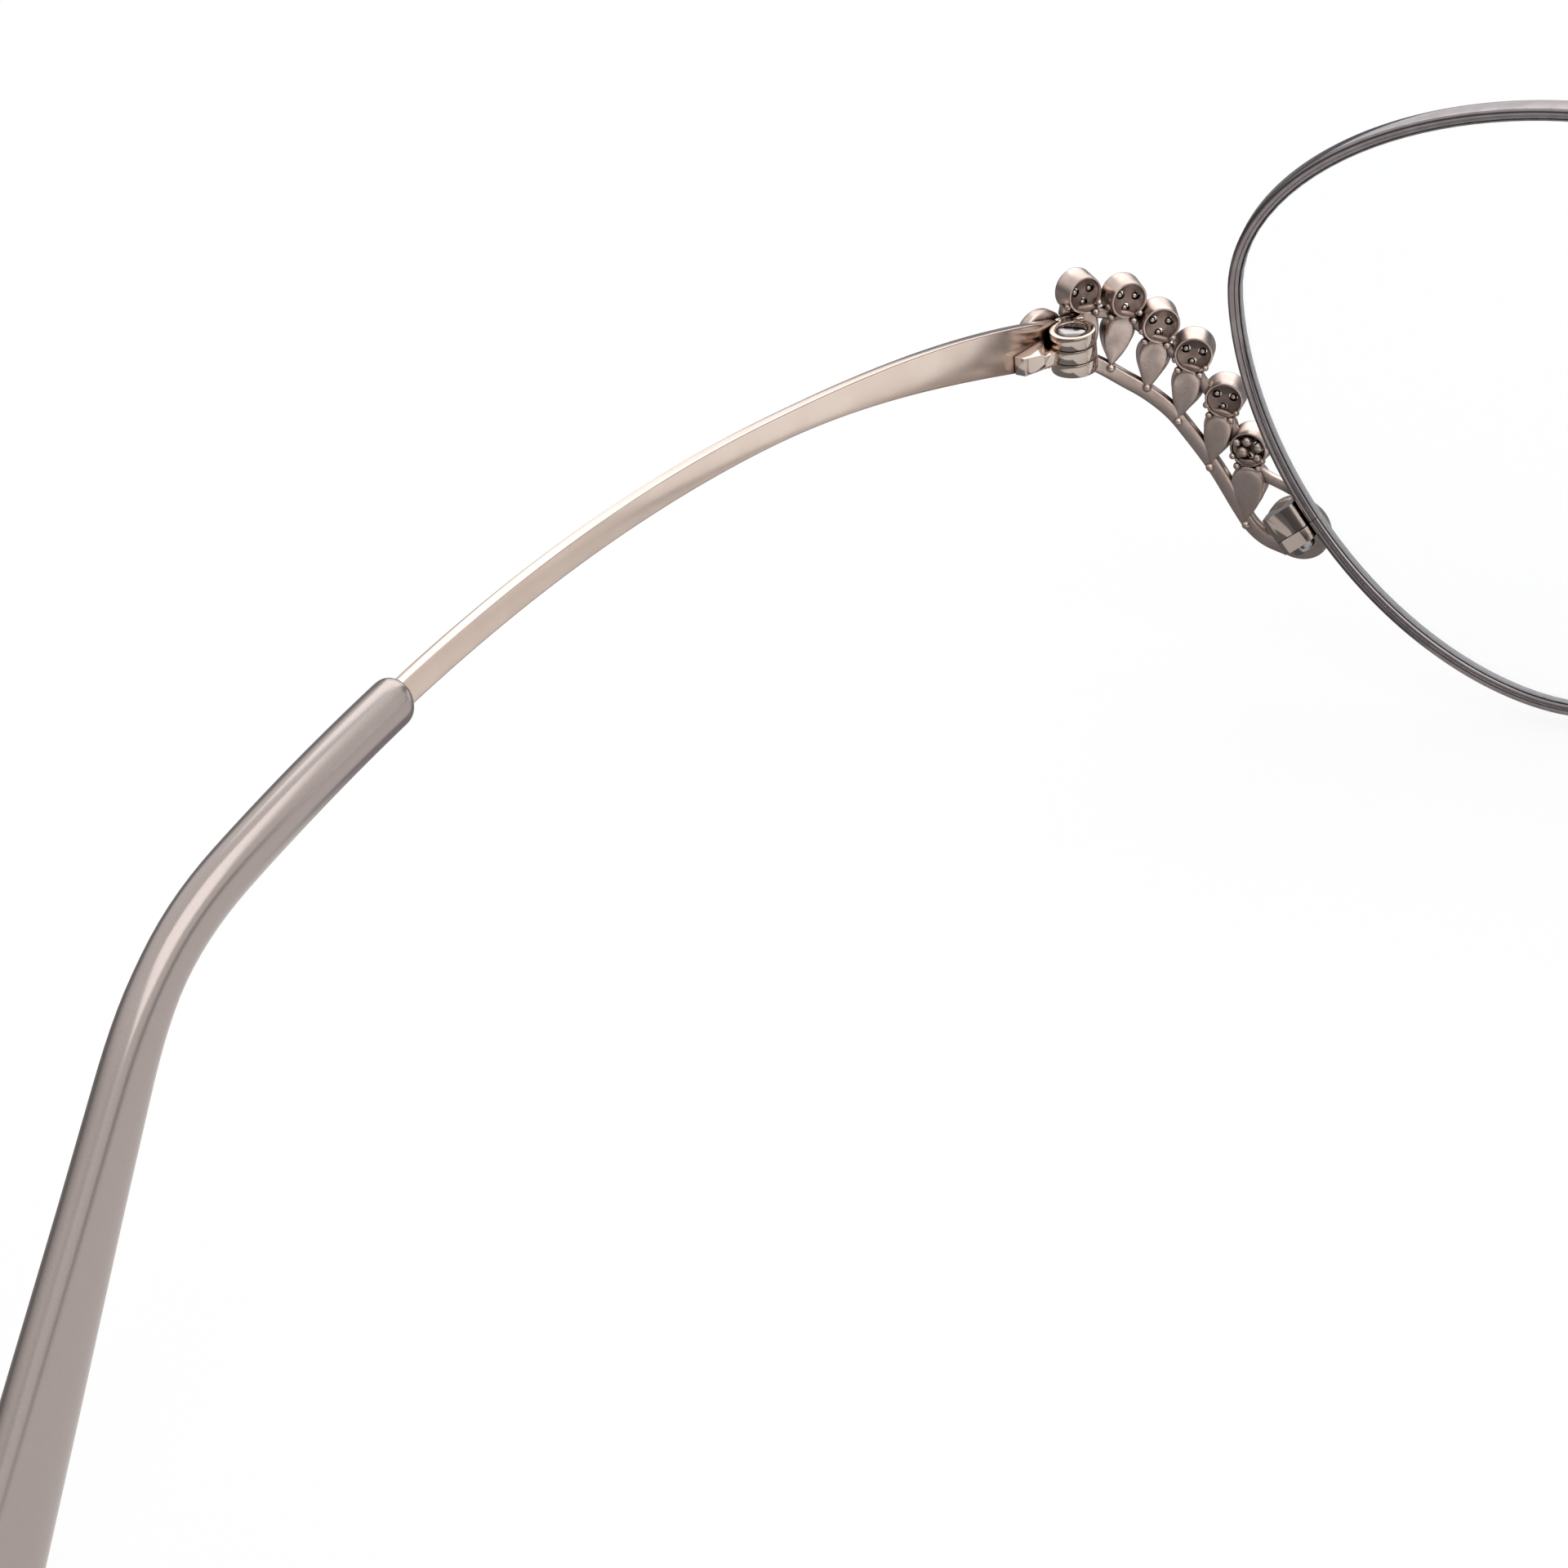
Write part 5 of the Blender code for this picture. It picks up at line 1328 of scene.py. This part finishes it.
HINGE_PLACE = Matrix.Translation(world(HINGE))
TOP_RING = (
    (BORE, LOW), (BARREL - EDGE, LOW), (BARREL - CHAMFER, LOW + CHAMFER), (BARREL, LOW + EDGE),
    (BARREL, HIGH - EDGE), (BARREL - CHAMFER, HIGH - CHAMFER), (BARREL - EDGE, HIGH),
    (1.16, HIGH), (1.10, HIGH - CHAMFER), (HEAD_SEAT, HIGH - 0.08),
    (HEAD_SEAT, HIGH - HEAD_DEPTH), (BORE, HIGH - HEAD_DEPTH), (BORE, LOW),
)


def ring_profile(low, high, edge=EDGE):
    """Closed profile of a knuckle with rounded outer edges."""
    return [(BORE, low), (BARREL - edge, low), (BARREL - 0.3 * edge, low + 0.3 * edge),
            (BARREL, low + edge), (BARREL, high - edge),
            (BARREL - 0.3 * edge, high - 0.3 * edge), (BARREL - edge, high), (BORE, high),
            (BORE, low)]


def slab(bm, outline, lows, highs, radius):
    """Slab by the hinge's axis, its corners running up to their own levels."""
    part = bmesh.new()
    base = bmesh.ops.create_circle(part, segments=len(outline), radius=MM)["verts"]
    for vert, (x, y), low in zip(base, outline, lows):
        vert.co = world(HINGE + Vector((x, y, low)))
    face = bmesh.ops.contextual_create(part, geom=base)["faces"][0]
    tops = set(verts_of(bmesh.ops.extrude_face_region(part, geom=[face])["geom"]))
    for vert, low, high in zip(base, lows, highs):
        pulled_from(vert, tops).co = vert.co + UP * (high - low) * MM
    bmesh.ops.recalc_face_normals(part, faces=part.faces)
    bmesh.ops.bevel(part, geom=part.verts[:] + part.edges[:], offset=radius * MM, **BEVEL)
    merge_into(bm, part)


web_plan = []
for along in np.linspace(*WEB_SPAN, 7):
    foot = (on_plan(along, 0.0, LEAF_BACK) - world(HINGE)) / MM
    web_plan.append((foot.x, foot.y))
for x, y in (web_plan[-1], web_plan[0]):
    web_plan.append((WEB_REACH * x / math.hypot(x, y), WEB_REACH * y / math.hypot(x, y)))
hinge_front = bmesh.new()
turn(hinge_front, ring_profile(-HIGH, -LOW), HINGE_PLACE, RING_STEPS)
turn(hinge_front, TOP_RING, HINGE_PLACE, RING_STEPS)
for low, high in WEB_LEVELS:
    slab(hinge_front, web_plan, [low] * len(web_plan), [high] * len(web_plan), WEB_EDGE)
leaf_shape = rounded_rectangle(LEAF_HALF_TALL, LEAF_HALF_THICK, LEAF_EDGE, 3)
sweep(hinge_front, [[on_plan(along, level, deep + LEAF_BACK) for level, deep in leaf_shape]
                    for along in np.linspace(*LEAF_SPAN, 20)])
finish_shape(hinge_front)
add_pair("front_hinge", hinge_front, HINGE_ROSE, FRONT, ["hinge_front"])

# %% [markdown]
# The temple's knuckle has an arm to the inside of the blade. A bracket rises from
# the arm like a wedge, and its slanted top is what the camera sees.

# %% Temple half of the hinge
LEAN = math.tan(math.radians(6.25))
INNER = BARREL + 0.03
ROOT = (0.35, 1.53)
APEX = (INNER + 1.07 * LEAN, 1.07)
OUTSIDE = (INNER + 4.55 * LEAN, 4.55)
CORNER = (OUTSIDE[0] - 0.80, 4.55)
BEND = (ROOT[0] + 0.4 * (CORNER[0] - ROOT[0]), ROOT[1] + 0.4 * (CORNER[1] - ROOT[1]))
ARM = ((1.2, 0.0), (INNER, 0.0), APEX, BEND, ROOT, (0.28, 1.2))
WEDGE = ((BEND[0], BEND[1] - 0.1), CORNER, OUTSIDE, (APEX[0], APEX[1] - 0.1))
ARM_HALF = 0.48
ARM_EDGE = 0.05
WEDGE_LOWS = (-ARM_HALF, -0.30, -0.30, -ARM_HALF)
WEDGE_HIGHS = (0.61, 1.05, 1.11, 0.90)

hinge_back = bmesh.new()
turn(hinge_back, ring_profile(-KNUCKLE / 2, KNUCKLE / 2, ARM_EDGE), HINGE_PLACE, RING_STEPS)
slab(hinge_back, ARM, [-ARM_HALF] * len(ARM), [ARM_HALF] * len(ARM), ARM_EDGE)
slab(hinge_back, WEDGE, WEDGE_LOWS, WEDGE_HIGHS, ARM_EDGE)
finish_shape(hinge_back)
add_pair("temple_hinge", hinge_back, HINGE_ROSE, TEMPLES, ["hinge_temple"])

# %% [markdown]
# The hinge screw is the pin. Its domed head sits in the top knuckle, and the slot
# across it is cut by a Boolean, as on every screw of the frame.

# %% Hinge screw
SCREW_SEAT = HIGH - 0.42
SCREW_PROFILE = (
    (0.0, -HIGH), (0.60, -HIGH), (0.60, SCREW_SEAT), (1.05, SCREW_SEAT), (1.05, HIGH - 0.12),
    (1.02, HIGH - 0.04), (0.92, HIGH + 0.02), (0.6, HIGH + 0.08), (0.0, HIGH + 0.10),
)
SCREW_SLOT = (3.0, 0.3, 0.34)
SCREW_SLOT_TURN = math.radians(13.0)


def slotted_screw(profile, place, slot_size, slot_at, turned=0.0):
    """Turned screw with a slot across its head."""
    screw = bmesh.new()
    turn(screw, profile, place)
    finish_shape(screw)
    slot_place = place @ Matrix.Rotation(turned, 4, "Z")
    return cut_away(screw, box(slot_size, shifted(slot_place, 0.0, 0.0, slot_at)))


hinge_screw = slotted_screw(SCREW_PROFILE, HINGE_PLACE, SCREW_SLOT, HIGH + 0.1,
                            SCREW_SLOT_TURN)
add_pair("hinge_screw", hinge_screw, STEEL, FRONT, ["hinge_screw"])

# %% [markdown]
# ## Closing blocks
# Each eyewire is split at its lower outer corner. A block on each side of the
# split takes a screw, which opens to change the lens. The block is flat towards
# the rim and rounded behind, and its flat faces are kept crisp.

# %% Closing block
BLOCK_REACH = 2.6
BLOCK_FRONT = -0.8
BLOCK_DEEP = 2.4
BLOCK_ROUND = 0.55
BLOCK_STEPS = 10
BLOCK_EDGE = 0.06
SQUARE_ENOUGH = 1e-12
BLOCK_CORNER = 0.48
BLOCK_NEAR_CORNER = (0.14, 0.12)
BLOCK_HALVES = (("upper", 0.03, 1.9), ("lower", -1.05, -0.03))
BLOCK_STAND_OFF = 0.38
BLOCK_HEAD = -1.68
BLOCK_SLOT = (2.8, 0.26, 0.5)
BLOCK_SLOT_TURN = 0.4
BLOCK_SCREW_PROFILE = (
    (0.0, BLOCK_HEAD), (0.60, BLOCK_HEAD), (0.76, -1.65), (0.88, -1.57), (0.94, -1.44),
    (0.95, -1.30), (0.95, -1.08), (0.45, -1.08), (0.45, 1.3), (0.0, 1.3),
)

point, outward, along = places[0], outwards[0], alongs[0]
here = on_dome(*point)
out_axis = (on_dome(*(point + outward)) - here).normalized()
up_axis = (on_dome(*(point + along)) - here).normalized()
back_axis = up_axis.cross(out_axis).normalized()
out_axis = back_axis.cross(up_axis).normalized()
BLOCK_PLACE = frame_at(here + out_axis * BLOCK_STAND_OFF * MM, out_axis, back_axis, up_axis)


def block_half(low, high):
    """Half of the closing block: flat to the rim, rounded behind."""
    rear = BLOCK_FRONT + BLOCK_DEEP
    near, step = BLOCK_NEAR_CORNER
    outline = [(0.0, BLOCK_FRONT), (BLOCK_REACH - BLOCK_CORNER, BLOCK_FRONT),
               (BLOCK_REACH - near, BLOCK_FRONT + step), (BLOCK_REACH, BLOCK_FRONT + BLOCK_CORNER)]
    for k in range(BLOCK_STEPS + 1):
        angle = math.pi / 2 * k / BLOCK_STEPS
        outline.append((BLOCK_REACH + BLOCK_ROUND * (math.cos(angle) - 1.0),
                        rear + BLOCK_ROUND * (math.sin(angle) - 1.0)))
    outline += [(BLOCK_CORNER, rear), (near, rear - step), (0.0, rear - BLOCK_CORNER)]
    part = bmesh.new()
    face = part.faces.new([part.verts.new(placed(BLOCK_PLACE, x, y, low)) for x, y in outline])
    tops = verts_of(bmesh.ops.extrude_face_region(part, geom=[face])["geom"])
    rise = BLOCK_PLACE.to_3x3() @ UP * (high - low) * MM
    bmesh.ops.translate(part, verts=tops, vec=rise)
    bmesh.ops.recalc_face_normals(part, faces=part.faces)
    ends = [e for e in part.edges
            if abs((e.verts[0].co - e.verts[1].co).dot(rise)) < SQUARE_ENOUGH]
    bmesh.ops.bevel(part, geom=ends, offset=BLOCK_EDGE * MM, **BEVEL)
    return part


# The block halves take the darker copy of the rose plating, which is painted shade.
for name, low, high in BLOCK_HALVES:
    add_pair(name + "_block", block_half(low, high), SHADED_BLOCK_ROSE, FRONT,
             ["block_" + name], CRISP)
block_axis = shifted(BLOCK_PLACE, BLOCK_REACH / 2, BLOCK_FRONT + BLOCK_DEEP / 2, 0.0)
block_screw = slotted_screw(BLOCK_SCREW_PROFILE, block_axis, BLOCK_SLOT, BLOCK_HEAD,
                            BLOCK_SLOT_TURN)
add_pair("block_screw", block_screw, STEEL, FRONT, ["block_screw"])

# %% [markdown]
# ## Bridge and nose pads
# These lie outside the photograph and follow normal frames: a saddle bridge of
# oval wire, and clear pads that rock in a small box on a bent wire.

# %% Bridge
BRIDGE_HALF = 8.81
BRIDGE_RISE = 3.2
BRIDGE_AHEAD = 1.0
BRIDGE_OVAL = (0.65, 0.95)
BRIDGE_STATIONS = 61
AHEAD = Vector((0.0, -1.0, 0.0))

root = (on_dome(-LENS_HALF, WIDEST_LINE) - ORIGIN) / MM
bridge = bmesh.new()
sections = []
for x in np.linspace(-BRIDGE_HALF, BRIDGE_HALF, BRIDGE_STATIONS):
    lift = 0.5 * (1.0 + math.cos(math.pi * x / BRIDGE_HALF))
    slope = -0.5 * math.pi / BRIDGE_HALF * math.sin(math.pi * x / BRIDGE_HALF)
    centre = Vector((x, root.y - BRIDGE_AHEAD * lift, root.z + BRIDGE_RISE * lift))
    along = Vector((1.0, -slope, BRIDGE_RISE * slope)).normalized()
    up = -AHEAD.cross(along).normalized()
    sections.append([world(centre + up * (BRIDGE_OVAL[1] * s) + AHEAD * (BRIDGE_OVAL[0] * c))
                     for c, s in circle_points(24)])
sweep(bridge, sections)
finish_shape(bridge)
add_piece("bridge_wire", bridge, ROSE, "front", ["bridge"])

# %% [markdown]
# A nose pad is an oval cushion of clear silicone with a lug on its back. The pad
# faces the side of the nose, so its own frame is built from the direction that
# points away from the nose.

# %% Nose pads
PAD_AT = (9.6, 8.2, -8.0)
NOSE_SIDE = (-0.80, 0.52, -0.28)
PAD_LENGTH = 13.5
PAD_WIDTH = 7.6
PAD_THICK = 2.4
PAD_ROWS = (
    (0.02, -0.55), (0.35, -0.53), (0.6, -0.48), (0.8, -0.37), (0.92, -0.25), (0.985, -0.1),
    (1.0, 0.02), (0.98, 0.12), (0.9, 0.22), (0.7, 0.3), (0.3, 0.35), (0.02, 0.36),
)
LUG_SIZE, LUG_MIDDLE, LUG_EDGE = (1.5, 1.25, 2.6), 1.3, 0.15
away = -Vector(NOSE_SIDE).normalized()
across = UP.cross(away).normalized()
PAD_PLACE = frame_at(world(PAD_AT), across.cross(away), across, away)
pad = bmesh.new()
sweep(pad, [[placed(PAD_PLACE, 0.5 * PAD_LENGTH * share * c, 0.5 * PAD_WIDTH * share * s,
                    level * PAD_THICK) for c, s in circle_points(48)]
            for share, level in PAD_ROWS])
merge_into(pad, box(LUG_SIZE, shifted(PAD_PLACE, 0.0, 0.0, LUG_MIDDLE), LUG_EDGE))
finish_shape(pad)
add_pair("silicone_pad", pad, SILICONE, PADS, ["nose_pad"])

# %% [markdown]
# A wire runs from the back of the eyewire in a loop to the roof of the box that
# holds the pad. Opticians bend that loop to fit the nose. The box is hollow, and
# a small screw through it and the lug is what the pad rocks on.

# %% Pad arms, boxes and screws
ARM_RADIUS = 0.55
ARM_ON_OUTLINE = 396
ARM_FOOT_DEPTH = 0.83
ARM_LOOK_DEPTH = 1.6
ARM_STATIONS = 49
BOX_ROOF = 3.43
BOX_SIZE, BOX_MIDDLE, BOX_EDGE = (2.7, 2.9, 2.25), 2.275, 0.16
HOLLOW_SIZE, HOLLOW_MIDDLE = (2.1, 1.35, 3.6), 1.15
PAD_SCREW_AT = 1.9
PAD_SCREW_HEAD = 1.88
PAD_SCREW_SLOT = (1.8, 0.16, 0.24)
PAD_SCREW_PROFILE = (
    (0.0, -1.45), (0.36, -1.45), (0.36, 1.48), (0.65, 1.48), (0.65, 1.66), (0.60, 1.78),
    (0.48, 1.86), (0.25, PAD_SCREW_HEAD), (0.0, PAD_SCREW_HEAD),
)


def pad_arm():
    """Wire from the eyewire's back, looping back to the roof of the pad box."""
    spot = lens_outline()[ARM_ON_OUTLINE]
    start = on_dome(*spot, ARM_FOOT_DEPTH)
    out_back = (on_dome(*spot, ARM_LOOK_DEPTH) - on_dome(*spot)).normalized()
    roof = placed(PAD_PLACE, 0.0, 0.0, BOX_ROOF)
    wire_radius = ARM_RADIUS * MM
    route = [
        start, start + out_back * 2.0 * wire_radius,
        start + out_back * 5.0 * wire_radius + away * wire_radius,
        (start + roof) / 2 + out_back * 4.0 * wire_radius + away * 4.0 * wire_radius,
        roof + away * 3.0 * wire_radius, roof,
    ]
    curve = smooth_curve([tuple(p) for p in route], 12)
    line = at_length(curve, np.linspace(0.0, lengths(curve)[-1], ARM_STATIONS))
    sections = []
    for i, here in enumerate(line):
        along = Vector(line[min(i + 1, ARM_STATIONS - 1)] - line[max(i - 1, 0)]).normalized()
        side = along.cross(UP).normalized()
        rise = side.cross(along)
        sections.append([Vector(here) + side * (wire_radius * c) + rise * (wire_radius * s)
                         for c, s in circle_points(20)])
    bm = bmesh.new()
    sweep(bm, sections)
    finish_shape(bm)
    return bm


pad_box = cut_away(box(BOX_SIZE, shifted(PAD_PLACE, 0.0, 0.0, BOX_MIDDLE), BOX_EDGE),
                   box(HOLLOW_SIZE, shifted(PAD_PLACE, 0.0, 0.0, HOLLOW_MIDDLE)))
pad_screw_place = (shifted(PAD_PLACE, 0.0, 0.0, PAD_SCREW_AT)
                   @ Matrix.Rotation(-math.pi / 2, 4, "X"))
pad_screw = slotted_screw(PAD_SCREW_PROFILE, pad_screw_place, PAD_SCREW_SLOT, PAD_SCREW_HEAD)
add_pair("pad_arm_wire", pad_arm(), ROSE, FRONT, ["pad_arm"])
add_pair("pad_box_shell", pad_box, ROSE, FRONT, ["pad_box"], CRISP)
add_pair("pad_box_screw", pad_screw, STEEL, FRONT, ["pad_screw"])

# %% Print sizes and finish
visual_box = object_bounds()
for label, corners in (("solids", cad_box), ("finished", visual_box)):
    print(label, [[round(v * 1000, 2) for v in corner] for corner in corners], "mm")
